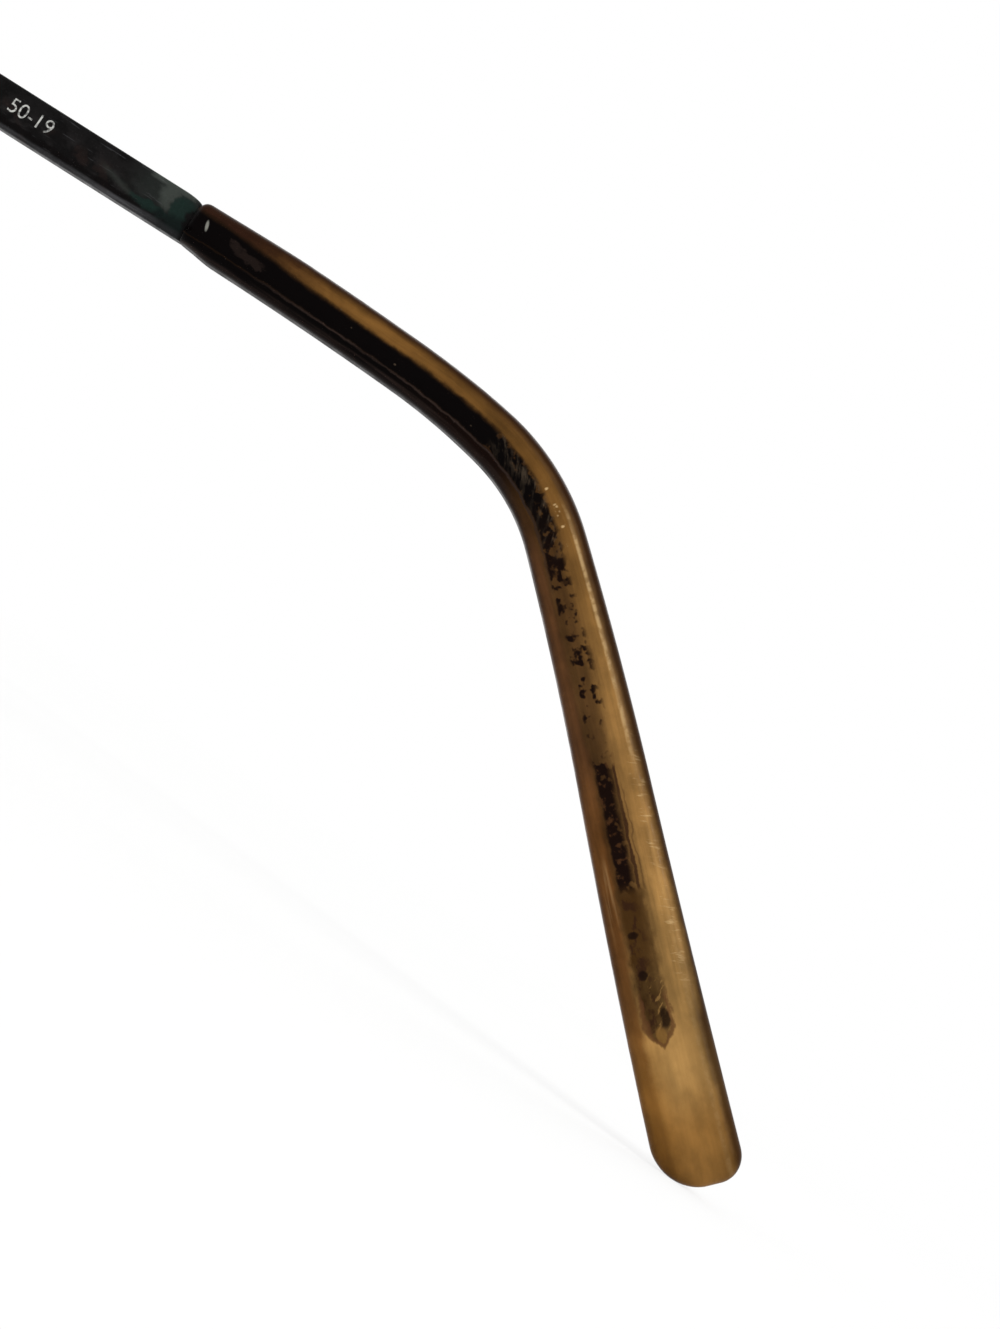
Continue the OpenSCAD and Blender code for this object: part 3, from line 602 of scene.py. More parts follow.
# The tip's colours.
# The core's black, and painted shade on the bar.
CORE_BLACK_AND_SHADE = colour("040202")
# Red-black of the core and of dark spots, and painted shade along the tip's lower edge.
RED_BLACK_AND_SHADE = colour("120704")
DARK_RED = colour("2c180e")
LINE_GREY = colour("2b211d")
BRONZE = colour("6a4922")
GOLD = colour("8d6839")
PALE_GOLD = colour("a07a46")
OCHRE = colour("7e5524")
RED_BROWN = colour("56371f")
RUST = colour("6b4420")
UMBER = colour("3d2814")
# Painted shade of the tip's edges.
EDGE_SHADE_BROWN = colour("261204")
# Painted highlights on the tip, and its crazing and scuff.
HIGHLIGHT_AND_WEAR_GOLD = colour("cfae7c")
DUST = colour("55483a")
EMBER = colour("85602f")
STAIN = colour("3c260d")
DARK_STAIN = colour("281706")
# A painted glint.
GLINT = colour("87867e")

# Stretches along the tip, in millimetres from its start.
WORN_FROM = (24, 32)
BLACK_AGAIN = (44.3, 51.8)
CORE_FADES = (51.6, 52.4)
STAIN_STARTS = (51.2, 52.4)
STAIN_POINT = (59.9, 61.8)

# How much of the core wire shows black along the tip.
CORE_SHOWS = [
    (0, 1), (22.5, 1), (24, 0.85), (28, 0.85), (30.5, 0.62), (31.2, 0.66), (32.6, 0.58), (33.4, 0.2),
    (34.4, 0.42), (36.6, 0.25), (37.3, 0.62), (38.0, 0.6), (38.4, 0.2), (39.4, 0.34), (43.8, 0.05),
    (44.4, 1.0), (51.2, 1.0), (52.2, 0.1), (60, 0.0),
]
CORE_REACH = 70


def tip_places(p):
    """Places on the tip: deep is across its middle, torn is that made ragged, and bounds hold the core."""
    at = p.temple()
    at.ragged = p.plus(p.noise(p.stretch(at.place, 1.0, 1.4, 1.4), 1.1, 4), -0.5)
    # What lies in the middle of the tip shows lower on its inner face than on its outer one.
    at.deep = p.plus(at.across, p.times(at.side, p.rise(at.along, 15, 45, 0.056, 0.034)))
    at.torn = p.plus(at.deep, p.times(at.ragged, 0.1))
    at.grain = p.noise(p.stretch(at.place, 0.18, 3.2, 1.0), 1.0, 3)
    top = p.plus(p.rise(at.along, 1, 10, -0.28, -0.15), p.rise(at.along, 21, 33, 0, 0.07),
                 p.rise(at.along, 43, 44.2, 0, 0.08))
    at.below_top = p.rise(p.plus(at.torn, p.times(top, -1)), -0.06, 0.06)
    above_foot = p.rise(at.torn, 0.19, 0.24, 1, 0)
    at.bounds = p.times(at.below_top, above_foot, p.rise(at.along, *CORE_FADES, 1, 0))
    return at


def tip_ground(p, at):
    """The plastic's colour: dark at its start, then golden, darker in its middle, and redder and darker
    below, partly its colour and partly painted shade on its lower rounding.
    """
    along, torn = at.along, at.torn
    tone = p.tint(p.rise(p.plus(along, p.times(at.ragged, 4)), 3, 12), DARK_RED, BRONZE)
    tone = p.tint(p.rise(along, 26, 46), tone, GOLD)
    tone = p.tint(p.rise(along, 46, 60), tone, PALE_GOLD)
    worn = p.rise(along, *WORN_FROM)
    middle = p.times(p.rise(torn, -0.24, 0.08), worn, p.rise(along, 53, 61, 0.9, 0))
    tone = p.tint(middle, tone, UMBER)
    # Partly painted shade: the lower rounding darker and redder.
    low = p.rise(p.plus(torn, p.times(p.band(along, 43, 51.5, 2), 0.04)), 0.23, 0.34)
    low = p.times(low, worn, p.rise(along, 60, 66, 0.9, 0.6))
    tone = p.tint(low, tone, p.tint(p.rise(along, 42, 50), RED_BROWN, RUST))
    tone = p.tint(p.times(p.rise(torn, 0.0, 0.42), p.rise(along, 58, 64, 0, 0.85)), tone, OCHRE)
    return p.tint(p.rise(along, 62.5, 66.5, 0, 0.7), tone, OCHRE)


def tip_shades(p, at, tone):
    """Clouds and streaks in the plastic, stretches that are darker or glow, and painted shade towards the
    upper edge.
    """
    along, across, deep, torn = at.along, at.across, at.deep, at.torn
    clouds = p.noise(p.stretch(at.place, 0.4, 0.6, 0.3), 1.0, 4)
    tone = p.shade(tone, p.rise(clouds, 0.3, 0.7, 0.78, 1.16))
    tone = p.shade(tone, p.without(p.times(p.band(along, 17, 26, 5), 0.26)))
    foot = p.times(p.rise(across, 0.24, 0.36), p.rise(along, 63.5, 65.5, 0, 0.3))
    under = p.times(p.band(torn, 0.12, 0.27, 0.08), p.band(along, 43.5, 52, 1), 0.28)
    base = p.times(p.band(torn, 0.23, 0.38, 0.06), p.band(along, 47.5, 51.5, 1.5), 0.2)
    veil = p.times(p.rise(deep, -0.34, -0.12), p.band(along, 51.5, 60, 1.5), 0.24)
    tone = p.shade(tone, p.without(p.plus(foot, under, base, veil)))
    glow = p.times(p.spot(along, deep, (50, -0.3), (3.2, 0.1), 0.7), 0.16)
    glow_below = p.times(p.band(across, 0.26, 0.38, 0.08), p.band(along, 52.5, 57, 1.5), 0.25)
    tone = p.shade(tone, p.plus(1.0, glow, glow_below))
    # Painted shade towards the upper edge from 54 mm on, weaker near the end; the last few millimetres
    # darker all over.
    shaded = p.times(p.rise(p.times(deep, -1), 0.08, 0.4), p.rise(along, 54, 57, 0, 0.42))
    shaded = p.times(shaded, p.rise(along, 62.5, 65, 1, 0.5))
    tone = p.shade(tone, p.plus(p.rise(along, 65.5, 68.5, 1, 0.82), p.times(shaded, -1)))
    streaks = p.times(p.rise(at.grain, 0.3, 0.7, -1, 1), p.rise(along, 56, 62, 0.14, 0.05))
    return p.shade(tone, p.plus(1.0, streaks))


def core_wire(p, at, tone):
    """The core wire seen through the plastic, worn from the bend on, fine lines along it, and a painted
    highlight line low on the face.
    """
    along, torn = at.along, at.torn
    ground = p.tint(p.rise(along, 14, 24), CORE_BLACK_AND_SHADE, RED_BLACK_AND_SHADE)
    tone = p.tint(p.times(at.below_top, p.rise(along, 24, 33, 1, 0)), tone, ground)
    strip = p.times(p.band(at.across, 0.4, 0.48, 0.05), p.rise(along, 22, 30, 1, 0))
    tone = p.tint(p.times(strip, p.rise(at.grain, 0.35, 0.65), 0.7), tone, LINE_GREY)
    blotch = p.rise(p.noise(p.stretch(at.place, 1.0, 1.0, 0.5), 1.5, 2.5, 0.5), 0.3, 0.7)
    slope = p.times(p.rise(torn, -0.12, 0.06, -0.2, 0.16), p.band(along, *WORN_FROM, 2))
    level = p.plus(blotch, p.curve(along, CORE_SHOWS, CORE_REACH), p.rise(along, 21, 23, 0.2, 0), slope)
    tone = p.tint(p.times(p.rise(level, 0.8, 1.05), at.bounds, 0.6), tone, UMBER)
    mottle = p.times(p.rise(p.noise(at.place, 2.2, 3), 0.54, 0.68, 0, 0.45), p.rise(along, 27, 32))
    black = p.tint(p.rise(along, 26, 33), CORE_BLACK_AND_SHADE, RED_BLACK_AND_SHADE)
    black = p.tint(mottle, black, p.tint(p.rise(along, 42, 45), UMBER, RED_BROWN))
    tone = p.tint(p.times(p.rise(level, 0.9, 1.2), at.bounds), tone, black)
    # A painted highlight line where the lower face turns into its rounding.
    line = p.times(p.band(torn, 0.215, 0.25, 0.025), p.band(along, 7, 31, 8))
    tone = p.tint(p.times(line, p.rise(at.grain, 0.2, 0.6, 0.4, 1)), tone, LINE_GREY)
    side_line = p.times(p.band(torn, -0.07, -0.025, 0.02), p.rise(at.grain, 0.3, 0.5, 0.45, 1))
    fine_line = p.times(p.band(torn, -0.125, -0.105, 0.02), p.rise(along, 45.2, 46, 0, 0.5))
    side_lines = p.times(p.most(side_line, fine_line), p.band(along, *BLACK_AGAIN, 0.4))
    return p.tint(p.times(side_lines, 0.85), tone, DARK_RED)


def stained_channel(p, at, tone):
    """The stain past the wire's end: soft above, darkest below the middle and drawn out to a point."""
    along, torn = at.along, at.torn
    frayed = p.plus(p.noise(p.stretch(at.place, 1.0, 1.5, 0.5), 1.3, 3, 0.55), -0.5)
    off = p.plus(p.maths("ABSOLUTE", p.plus(torn, -0.08)), p.times(frayed, 0.12))
    past = p.plus(off, p.times(p.rise(along, *STAIN_POINT, 0.18, -0.07), -1))
    stain = p.times(p.rise(past, -0.05, 0.03, 1, 0), p.rise(along, *STAIN_STARTS))
    stain = p.times(stain, p.rise(torn, -0.13, 0.1, 0.55, 1))
    smoke = p.noise(p.stretch(at.place, 0.8, 1.2, 0.5), 0.9, 3)
    stain_tone = p.tint(p.rise(along, 55, 57.5), STAIN, DARK_STAIN)
    tone = p.tint(p.times(stain, p.rise(smoke, 0.3, 0.65, 0.96, 0.78)), tone, stain_tone)
    sooty = p.times(stain, p.rise(frayed, 0.0, 0.14), p.rise(torn, 0.0, 0.12, 0.3, 0.8))
    tone = p.tint(sooty, tone, DARK_RED)
    tone = p.tint(p.times(p.spot(along, torn, (60.5, 0.07), (0.6, 0.07)), 0.5), tone, EMBER)
    slanted = p.join(p.plus(p.times(along, 2.6), p.times(at.up, 2.2)), p.times(at.up, 1.8), 0.0)
    cracks = p.times(p.rise(p.noise(slanted, 1.0, 3), 0.54, 0.62), p.band(along, 57, 60, 0.8))
    cracks = p.times(cracks, p.band(torn, -0.1, 0.1, 0.08))
    tone = p.tint(p.times(cracks, 0.4), tone, PALE_GOLD)
    border = p.times(p.band(past, -0.05, 0.01, 0.04), p.band(along, 58, 61.6, 1))
    tone = p.tint(p.times(border, 0.75), tone, RED_BROWN)
    spots = [p.spot(along, torn, *spot) for spot in (
        ((59.4, -0.01), (0.62, 0.06)), ((54.4, 0.16), (0.22, 0.07)), ((56.8, 0.14), (0.3, 0.05)))]
    return p.tint(p.times(p.most(*spots), 0.85), tone, RED_BLACK_AND_SHADE)


def crazing(p, at):
    """Fine cracks in the upper part of the tip, where it lies on the ear."""
    slanted = p.join(p.plus(p.times(at.along, 4.6), p.times(at.up, -1.6)), p.times(at.up, 1.0), 0.0)
    patchy = p.rise(p.noise(p.stretch(at.place, 0.8, 1.0, 0.5), 1.0, 2), 0.4, 0.6, 0.25, 1)
    lines = p.rise(p.noise(slanted, 1.0, 3), 0.54, 0.68)
    return p.times(lines, p.band(at.deep, -0.44, -0.26, 0.1), p.band(at.along, 43, 57, 5), patchy)


def tip_wear_and_highlights(p, at, tone, craze):
    """A smudge near the start, dust and strokes over the core, crazing and a scuff, and painted highlights:
    a glint near the start, a dotted stretch and a line along the upper rounding.
    """
    along, up, across, deep, torn, place = at.along, at.up, at.across, at.deep, at.torn, at.place
    here = p.plus(along, p.times(at.ragged, 5))
    smudge = p.spot(here, p.plus(torn, p.times(at.ragged, 0.3)), (4.2, -0.01), (1.1, 0.09), 0.7)
    tone = p.tint(p.times(smudge, at.shown, 0.4), tone, LINE_GREY)
    speck = p.rise(p.grains(p.stretch(place, 0.8, 1.1, 0.6), 1.0), 0.04, 0.09, 1, 0)
    speck = p.times(speck, p.band(deep, -0.16, 0.1, 0.1), p.band(along, 7, 30, 4), 0.75)
    slanted = p.join(p.plus(p.times(along, 1.7), p.times(up, 2.0)), p.times(up, 1.2), 0.0)
    strokes = p.times(p.rise(p.noise(slanted, 1.0, 3), 0.46, 0.66), p.band(along, 23, 31, 1.5), at.bounds)
    strokes = p.times(strokes, p.rise(torn, -0.02, 0.12, 0.42, 0.12))
    tone = p.tint(p.most(speck, strokes), tone, DUST)
    # Painted highlights: a dotted stretch, then a line along the upper rounding.
    highlight_dots = p.rise(p.grains(p.stretch(place, 3.6, 1.6, 0.4), 1.0), 0.2, 0.4, 1, 0)
    highlight_dots = p.times(highlight_dots, p.band(deep, -0.24, -0.18, 0.04), p.band(along, 26.8, 30.8, 0.6))
    beads = p.rise(p.noise(p.stretch(place, 2.2, 2.2, 1.0), 1.0, 3), 0.4, 0.6, 0.4, 1)
    highlight_line = p.times(p.rise(along, 27.5, 31), p.rise(along, 41, 46, 0.8, 0.12))
    highlight_line = p.times(highlight_line, p.band(deep, -0.365, -0.31, 0.04), beads)
    scuff = p.times(p.rise(at.grain, 0.5, 0.66), p.band(deep, 0.3, 0.4, 0.06), p.band(along, 50, 54.5, 1.5))
    # The painted highlights share a lighter gold with the crazing and the scuff.
    marks = p.times(p.most(highlight_dots, highlight_line), 0.7)
    tone = p.tint(p.most(marks, p.times(craze, 0.55), p.times(scuff, 0.14)), tone, HIGHLIGHT_AND_WEAR_GOLD)
    # A painted glint near the start, on the shown face.
    glint = p.spot(p.plus(along, p.times(up, 0.3)), across, (1.15, -0.02), (0.1, 0.09), 0.8)
    return p.tint(p.times(glint, at.shown, 0.8), tone, GLINT)


def tip_edges(p, at, tone):
    """Painted shade along the edges, which look dark because little light comes through them."""
    along = at.along
    outer = p.plus(at.across, p.times(at.ragged, 0.06))
    # Painted shade along the upper edge, reaching further in at places along the tip.
    reach = p.plus(p.rise(along, 40, 48, 0.04, -0.012), p.rise(along, 58.5, 61, 0, 0.04),
                   p.times(p.band(along, 51, 59, 2), -0.03), p.times(outer, -1))
    edge = p.rise(reach, p.rise(along, 62, 65, 0.29, 0.35), p.rise(along, 62, 65, 0.45, 0.455))
    tone = p.tint(p.times(edge, p.rise(along, 58, 63, 0.94, 0.82)), tone, EDGE_SHADE_BROWN)
    # Painted shade along the lower edge.
    low_edge = p.times(p.rise(outer, 0.42, 0.49), p.rise(along, 28, 42, 0.7, 0.3))
    return p.tint(low_edge, tone, RED_BLACK_AND_SHADE)


def acetate():
    """Horn-brown plastic, seen through to the black core wire and the stained channel beyond its end."""
    p = Paint("tip_acetate", Specular_IOR_Level=0.025)
    at = tip_places(p)
    craze = crazing(p, at)
    tone = tip_shades(p, at, tip_ground(p, at))
    tone = stained_channel(p, at, core_wire(p, at, tone))
    p.set("Base Color", tip_edges(p, at, tip_wear_and_highlights(p, at, tone, craze)))
    p.set("Roughness", p.rise(p.noise(at.place, 0.8, 4), 0.3, 0.75, 0.16, 0.4))
    fine = p.noise(p.stretch(at.place, 1.0, 2.5, 2.0), 3.0, 3)
    p.bump(p.plus(p.times(fine, 0.25), p.times(craze, 1.2)), 0.02, 0.6)
    return p.material


# The metal's and the clear pieces' colours.
BLACK = colour("080707")
WARM_BLACK = colour("1c1412")
GREY_BLACK = colour("1a1818")
# Painted reflections on the bar near the tip; the grey one also colours a smear.
GREEN_BLACK = colour("202321")
TEAL_BLACK = colour("14231f")
DEEP_TEAL = colour("070c0c")
SHEEN_AND_SMEAR_GREY = colour("3a3e3a")
# Scratches, and the painted highlight along the bar's lower edge.
SCRATCH_AND_HIGHLIGHT_GREY = colour("48484a")
STEEL = colour("b4b3b0")
DULL_STEEL = colour("8b8780")
SILICONE = colour("f1eee6")
YELLOWED = colour("e9e3d2")
LENS_CLEAR = colour("fbfdfd")
LENS_SMEARED = colour("f7fbfa")
LENS_GROUND = colour("c9cfce")
PRINT = colour("b9b9b4")
WORN_PRINT = colour("5a5a58")


def enamel_wear(p, place, tone, clean=0.0):
    """Fine scratches and dust over black enamel where it isn't clean, its roughness and its bump."""
    dust = p.noise(place, 1.6, 5, 0.65)
    scratch = p.noise(p.stretch(place, 0.5, 6, 6), 1.0, 3)
    tone = p.tint(p.times(p.rise(dust, 0.5, 0.8, 0, 0.5), p.without(clean)), tone, GREY_BLACK)
    tone = p.tint(p.rise(scratch, 0.66, 0.7, 0, 0.35), tone, SCRATCH_AND_HIGHLIGHT_GREY)
    p.set("Base Color", tone)
    p.set("Roughness", p.rise(dust, 0.3, 0.75, 0.2, 0.42))
    p.bump(p.plus(p.times(dust, 0.4), p.times(scratch, -0.3)), 0.015, 0.5)
    return p.material


def bar_ground(p, at, here, there):
    """The bar's enamel: patchy black and browner away from the tip, with a painted grey-green reflection
    near it.
    """
    patches = p.rise(p.noise(p.stretch(at.place, 0.7, 1.1, 0.5), 1.0, 4, 0.6), 0.42, 0.6)
    tone = p.tint(p.times(patches, p.rise(there, -0.35, 0.1, 0.35, 0.9)), BLACK, GREY_BLACK)
    brown = p.times(p.rise(p.noise(at.place, 0.6, 3), 0.47, 0.58), p.rise(there, -0.2, 0.1))
    tone = p.tint(p.times(brown, p.rise(at.along, -6, -4, 1, 0), 0.8), tone, WARM_BLACK)
    # A painted grey-green reflection on the upper part near the tip.
    grey = p.times(p.rise(here, -5.5, -3), p.rise(there, 0.2, 0.0))
    return p.tint(p.times(grey, 0.8), tone, GREEN_BLACK)


def bar_enamel():
    """Black enamel of the temple bar, with a smear, and near the tip painted reflections, a painted
    highlight along its lower edge and painted shade at its end.
    """
    p = Paint("bar_enamel", Specular_IOR_Level=0.05)
    at = p.temple()
    along, across = at.along, at.across
    marked = p.rise(at.shown, 0.0, 1.0, 0.25, 1.0)
    ragged = p.plus(p.noise(at.place, 0.9, 4), -0.5)
    here = p.plus(along, p.times(ragged, 1.6))
    there = p.plus(across, p.times(ragged, 0.4))
    tone = bar_ground(p, at, here, there)
    # A painted grey reflection near the tip, reaching along the upper edge.
    sheen = p.spot(here, there, (-2.0, -0.26), (0.6, 0.32), 0.8)
    sheen = p.most(sheen, p.times(p.rise(across, -0.34, -0.4), p.band(along, -3.6, -0.5, 0.5)))
    tone = p.tint(p.times(sheen, marked, 0.85), tone, SHEEN_AND_SMEAR_GREY)
    # A painted teal reflection near the tip.
    teal = p.spot(here, there, (-0.9, 0.0), (0.75, 0.4), 0.4)
    teal = p.most(teal, p.spot(here, there, (-2.6, 0.22), (1.5, 0.11)))
    tone = p.tint(p.times(teal, p.rise(across, -0.4, -0.34), marked, 0.9), tone, TEAL_BLACK)
    stroke = p.plus(across, p.times(p.plus(along, 5.2), -0.09))
    smear = p.times(p.band(stroke, 0.05, 0.16, 0.14), p.band(here, -6.4, -4.0, 0.8))
    tone = p.tint(p.times(smear, at.shown, 0.36), tone, SHEEN_AND_SMEAR_GREY)
    shade = p.times(p.band(there, 0.25, 0.4, 0.06), p.rise(along, -4.6, -3.2, 1, 0.3))
    tone = p.tint(p.times(shade, 0.9), tone, CORE_BLACK_AND_SHADE)
    # Painted reflection: darker teal low down by the tip.
    foot = p.times(p.rise(there, 0.05, 0.2), p.band(here, -2.2, 0, 0.6))
    tone = p.tint(p.times(foot, 0.7), tone, DEEP_TEAL)
    # A painted highlight along the lower edge, in streaks.
    strip = p.rise(p.plus(across, p.rise(along, -5, -2, 0, 0.05)), 0.38, 0.45)
    lower_highlight = p.times(strip, p.rise(along, -3.4, -1.4, 1, 0.2), p.rise(along, -9, -5, 0.5, 1))
    streaks = p.rise(p.noise(p.stretch(at.place, 0.5, 6, 4), 1.0, 3), 0.3, 0.6, 0.4, 1.0)
    tone = p.tint(p.times(lower_highlight, streaks, 0.85), tone, SCRATCH_AND_HIGHLIGHT_GREY)
    # Painted shade where the bar rounds off into the tip.
    tone = p.tint(p.rise(here, -0.5, -0.15, 0, 0.9), tone, CORE_BLACK_AND_SHADE)
    return enamel_wear(p, at.place, tone, shade)


def enamel():
    """Black enamel, a little uneven."""
    p = Paint("enamel_black", Specular_IOR_Level=0.16)
    place = p.millimetres()
    tone = p.tint(p.rise(p.noise(place, 0.35, 3), 0.45, 0.65, 0, 0.6), BLACK, WARM_BLACK)
    return enamel_wear(p, place, tone)


def steel():
    """Turned stainless steel of the screws and lugs."""
    p = Paint("steel_turned", Metallic=1.0)
    place = p.millimetres()
    lines = p.noise(p.stretch(place, 1.0, 1.0, 14), 1.0, 3)
    p.set("Base Color", p.tint(p.rise(p.noise(place, 1.2, 4), 0.45, 0.7), STEEL, DULL_STEEL))
    p.set("Roughness", p.rise(lines, 0.3, 0.7, 0.2, 0.42))
    p.bump(lines, 0.01, 0.5)
    return p.material


def silicone():
    """Clear soft silicone of the pads, a little yellowed."""
    p = Paint("pad_silicone", Transmission_Weight=0.88, IOR=1.41, Specular_IOR_Level=0.45)
    place = p.millimetres()
    p.set("Base Color", p.tint(p.rise(p.noise(place, 0.25, 2), 0.3, 0.75), SILICONE, YELLOWED))
    p.set("Roughness", p.rise(p.noise(place, 1.2, 3), 0.3, 0.7, 0.3, 0.38))
    p.bump(p.noise(place, 2.0, 3), 0.004, 0.3)
    return p.material


def glass():
    """Clear lens plastic with faint smears, and dull where it is ground to fit the rim."""
    p = Paint("lens_clear", Transmission_Weight=1.0, IOR=1.5)
    place = p.millimetres()
    smear = p.noise(p.stretch(place, 0.1, 0.1, 0.25), 1.0, 4)
    ground = p.rise(p.kept("ground").outputs["Fac"], 0.9, 1.0)
    tone = p.tint(p.rise(smear, 0.4, 0.7), LENS_CLEAR, LENS_SMEARED)
    p.set("Base Color", p.tint(ground, tone, LENS_GROUND))
    p.set("Roughness", p.most(p.rise(smear, 0.5, 0.75, 0.0, 0.02), p.times(ground, 0.5)))
    p.bump(p.noise(place, 0.3, 2), 0.002, 0.3)
    return p.material


def print_white():
    """Worn white print."""
    p = Paint("print_white", Roughness=0.6)
    place = p.millimetres()
    p.set("Base Color", p.tint(p.rise(p.noise(place, 5, 3), 0.45, 0.65), PRINT, WORN_PRINT))
    p.bump(p.noise(place, 8, 3), 0.01, 0.5)
    return p.material


# The dressed part

MATERIALS = {
    "tip_acetate": acetate(), "bar": bar_enamel(), "enamel": enamel(), "bare_steel": steel(),
    "pad_silicone": silicone(), "lens": glass(), "print": print_white(),
}


def dress(piece, material, body, node):
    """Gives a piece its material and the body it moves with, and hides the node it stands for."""
    piece.data.materials.clear()
    piece.data.materials.append(MATERIALS[material])
    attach(piece, body)
    if node:
        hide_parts(node)


# Pieces made from their solids: name, rounded edges in millimetres, rounds of subdivision and material.
REFINED_PIECES = {
    "rim": ("wire", 0.12, 1, "enamel"), "pad_arm": ("arm", 0, 1, "enamel"),
    "end_piece": ("corner", 0.15, 0, "enamel"), "nose_pad": ("pad", 0, 2, "pad_silicone"),
    "front_hinge": ("front_hinge_round", 0.1, 0, "enamel"),
    "temple_hinge": ("temple_hinge_round", 0.1, 0, "enamel"),
    "rim_lock": ("rim_lock_round", 0.12, 0, "enamel"), "pad_box": ("pad_box_round", 0.06, 0, "enamel"),
    "hinge_screw": ("hinge_screw_round", 0.05, 0, "bare_steel"),
    "rim_screw": ("rim_screw_round", 0.05, 0, "bare_steel"),
    "pad_screw": ("pad_screw_round", 0.04, 0, "bare_steel"),
    "pad_lug": ("pad_lug_round", 0.06, 0, "bare_steel"),
}

for side in SIDES:
    temple = f"temple_{side}_body"
    dress(make_tip(side), "tip_acetate", temple, f"temple_tip_{side}")
    dress(make_bar(side), "bar", temple, f"temple_bar_{side}")
    dress(make_lens(side), "lens", "front", f"lens_{side}")
    for kind, (name, edge, soften, material) in REFINED_PIECES.items():
        node = f"{kind}_{side}"
        piece = refined(node, f"{name}_{side}", edge, soften)
        dress(piece, material, frame["nodes"][node]["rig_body"], node)
dress(refined("bridge", "bridge_bar", 0.12, 1), "enamel", "front", "bridge")

# Size numbers printed on the inside of the right temple.
PRINT_TEXT, PRINT_HEIGHT, PRINT_START, PRINT_UP = "50-19", 0.95, -13.3, -0.3
PRINT_THICK, PRINT_SLIM = 0.008, 0.01
CAP_SHARE = 0.7  # of the font's size that its figures stand high


def make_print():
    """The numbers as a thin raised print on the bar's inner face."""
    curve = bpy.data.curves.new("size_print", "FONT")
    curve.body = PRINT_TEXT
    curve.size = PRINT_HEIGHT / CAP_SHARE
    curve.extrude = PRINT_THICK / 2
    curve.offset = -PRINT_SLIM
    text = bpy.data.objects.new("size_text", curve)
    bpy.context.scene.collection.objects.link(text)
    bpy.context.view_layer.update()
    mesh = bpy.data.meshes.new_from_object(text)
    bpy.data.objects.remove(text)
    for vertex in mesh.vertices:
        along, up, out = vertex.co
        face = -BAR_T / 2 - PRINT_THICK / 2 - out
        vertex.co = temple_place(temple_point(PRINT_START + along, PRINT_UP + up, face), "right")
    piece = bpy.data.objects.new("size_print", mesh)
    bpy.context.scene.collection.objects.link(piece)
    return piece


dress(make_print(), "print", "temple_right_body", None)


# Floor, light and camera

FLOOR_HALF = 3.0  # metres
FLOOR_GREY, FLOOR_WHITE = colour("eeedeb"), colour("f6f5f3")
# How clear the floor is to the camera near the part, and how far off in millimetres it turns wholly clear.
NEAR_CLEAR, CLEAR_REACH = 0.8, (120, 400)
# Where a folded tip dips under the floor: an ellipse on each side, middle and half sizes in millimetres.
DIP_MIDDLE, DIP_SIZE, DIP_SOFT = (50, -30), (34, 46), 0.6
# The world's light on all that the camera doesn't see straight, in gloss or through glass.
AMBIENT, AMBIENT_LEVEL = (0.96, 0.98, 1.0, 1), 0.55


def floor_white():
    """The floor's material: clear to the camera, in gloss and in glass, but for some shadow near the part.

    It is wholly clear from beneath and where a folded tip dips under it.
    """
    p = Paint("floor_white", Roughness=0.9, Specular_IOR_Level=0.0)
    place = p.millimetres()
    p.set("Base Color", p.tint(p.noise(place, 0.02, 4), FLOOR_GREY, FLOOR_WHITE))
    clear = p.node("BsdfTransparent", {0: (1, 1, 1, 1)})
    beneath = p.node("NewGeometry", {}).outputs["Backfacing"]
    away = p.node("VectorMath", {0: place}, operation="LENGTH").outputs["Value"]
    x, y = p.split(place)[:2]
    dip = p.spot(p.maths("ABSOLUTE", x), y, DIP_MIDDLE, DIP_SIZE, DIP_SOFT)
    share = p.times(p.seen(), p.most(dip, p.rise(away, *CLEAR_REACH, NEAR_CLEAR, 1.0)))
    lit = p.node("MixShader", {0: p.most(share, beneath), 1: p.shader.outputs[0], 2: clear.outputs[0]})
    out = next(n for n in p.tree.nodes if n.type == "OUTPUT_MATERIAL")
    p.feed(out.inputs["Surface"], lit.outputs[0])
    return p.material


def make_floor():
    """A wide flat floor, which isn't a piece of the part."""
    corners = [(x * FLOOR_HALF, y * FLOOR_HALF, 0) for x, y in ((-1, -1), (1, -1), (1, 1), (-1, 1))]
    floor = mesh_object("floor", corners, [(0, 1, 2, 3)])
    floor.data.materials.append(floor_white())
    return floor


def white_world():
    """White to the camera, in gloss and in glass, and a dimmer, slightly blue light on all else."""
    world = bpy.data.worlds.new("studio")
    bpy.context.scene.world = world
    world.use_nodes = True
    made = Nodes(world.node_tree)
    white = made.tree.nodes["Background"]
    white.inputs[0].default_value = (1, 1, 1, 1)
    ambient = made.node("Background", {0: AMBIENT, 1: AMBIENT_LEVEL})
    lit = made.node("MixShader", {0: made.seen(), 1: ambient.outputs[0], 2: white.outputs[0]})
    made.feed(made.tree.nodes["World Output"].inputs["Surface"], lit.outputs[0])


floor = make_floor()
white_world()

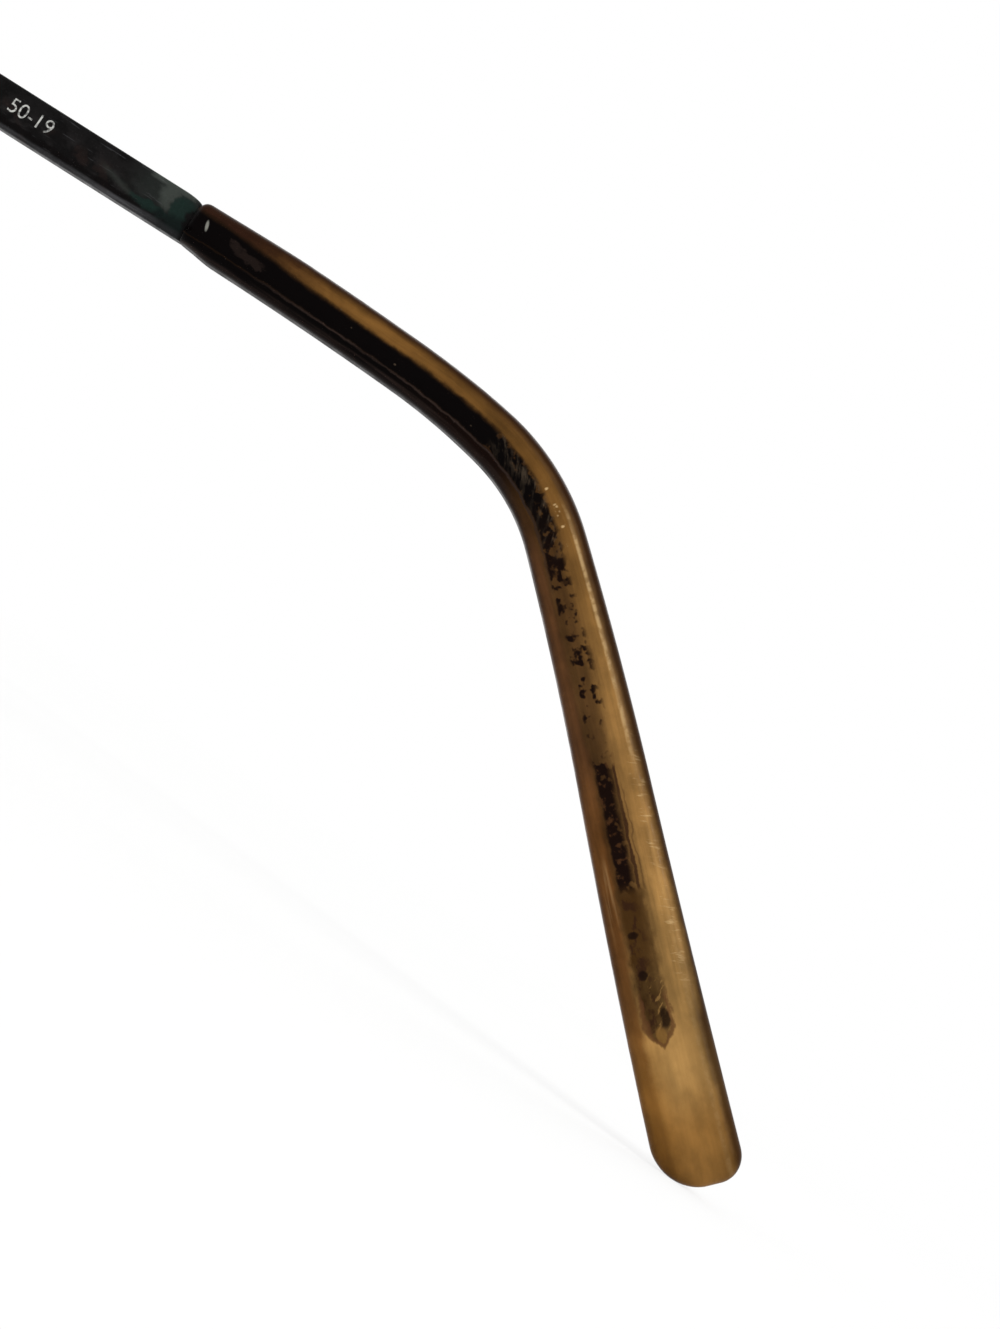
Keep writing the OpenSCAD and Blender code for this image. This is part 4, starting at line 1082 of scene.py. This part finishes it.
# Each lamp's place, what it faces and its width and height, in metres, and its watts.
LAMPS = {
    "key": ((0.42, 0.35, 0.6), (-0.02, 0.0, 0.02), (0.5, 0.5), 2.9),
    "fill": ((-0.6, 0.1, 0.6), (0.0, 0.0, 0.02), (0.6, 0.6), 2.0),
    "front": ((0.1, -0.7, 0.35), (0.0, 0.0, 0.02), (0.5, 0.3), 1.2),
    "glint": ((0.384, 0.306, 0.318), (-0.068, 0.048, 0.022), (0.06, 0.03), 0.6),
}


def lamp(name, place, target, size, watts):
    """An area lamp at place, facing target."""
    light = bpy.data.lights.new(name, "AREA")
    light.shape = "RECTANGLE"
    light.size, light.size_y = size
    light.energy = watts
    lit = bpy.data.objects.new(name, light)
    lit.location = place
    lit.rotation_euler = (Vector(target) - Vector(place)).to_track_quat("-Z", "Y").to_euler()
    bpy.context.scene.collection.objects.link(lit)


for name, settings in LAMPS.items():
    lamp(name, *settings)

# The camera's place, worked out from the temple's edges in the photograph.
CAMERA_AIM = Vector((-67.92, 40.869, 19.82)) * MM
CAMERA_DISTANCE = 109.9 * MM
CAMERA_ELEVATION = -6.0
CAMERA_ROLL = 33.608
CAMERA_LENS = 49.0
CAMERA_NEAR, CAMERA_FAR = 0.002, 20


def photo_camera():
    """A camera between the temples, looking at the right one a little from below, and rolled."""
    data = bpy.data.cameras.new("photo_camera")
    data.lens = CAMERA_LENS
    data.clip_start, data.clip_end = CAMERA_NEAR, CAMERA_FAR
    camera = bpy.data.objects.new("photo_camera", data)
    e, r = math.radians(CAMERA_ELEVATION), math.radians(CAMERA_ROLL)
    back = Vector((math.cos(e), 0, math.sin(e)))
    level, above = Vector((0, 1, 0)), Vector((-math.sin(e), 0, math.cos(e)))
    right = level * math.cos(r) + above * math.sin(r)
    up = above * math.cos(r) - level * math.sin(r)
    turn = Matrix((right, up, back)).transposed().to_4x4()
    camera.matrix_world = Matrix.Translation(CAMERA_AIM + back * CAMERA_DISTANCE) @ turn
    bpy.context.scene.collection.objects.link(camera)
    bpy.context.scene.camera = camera


photo_camera()
bpy.context.scene.view_settings.view_transform = "Standard"
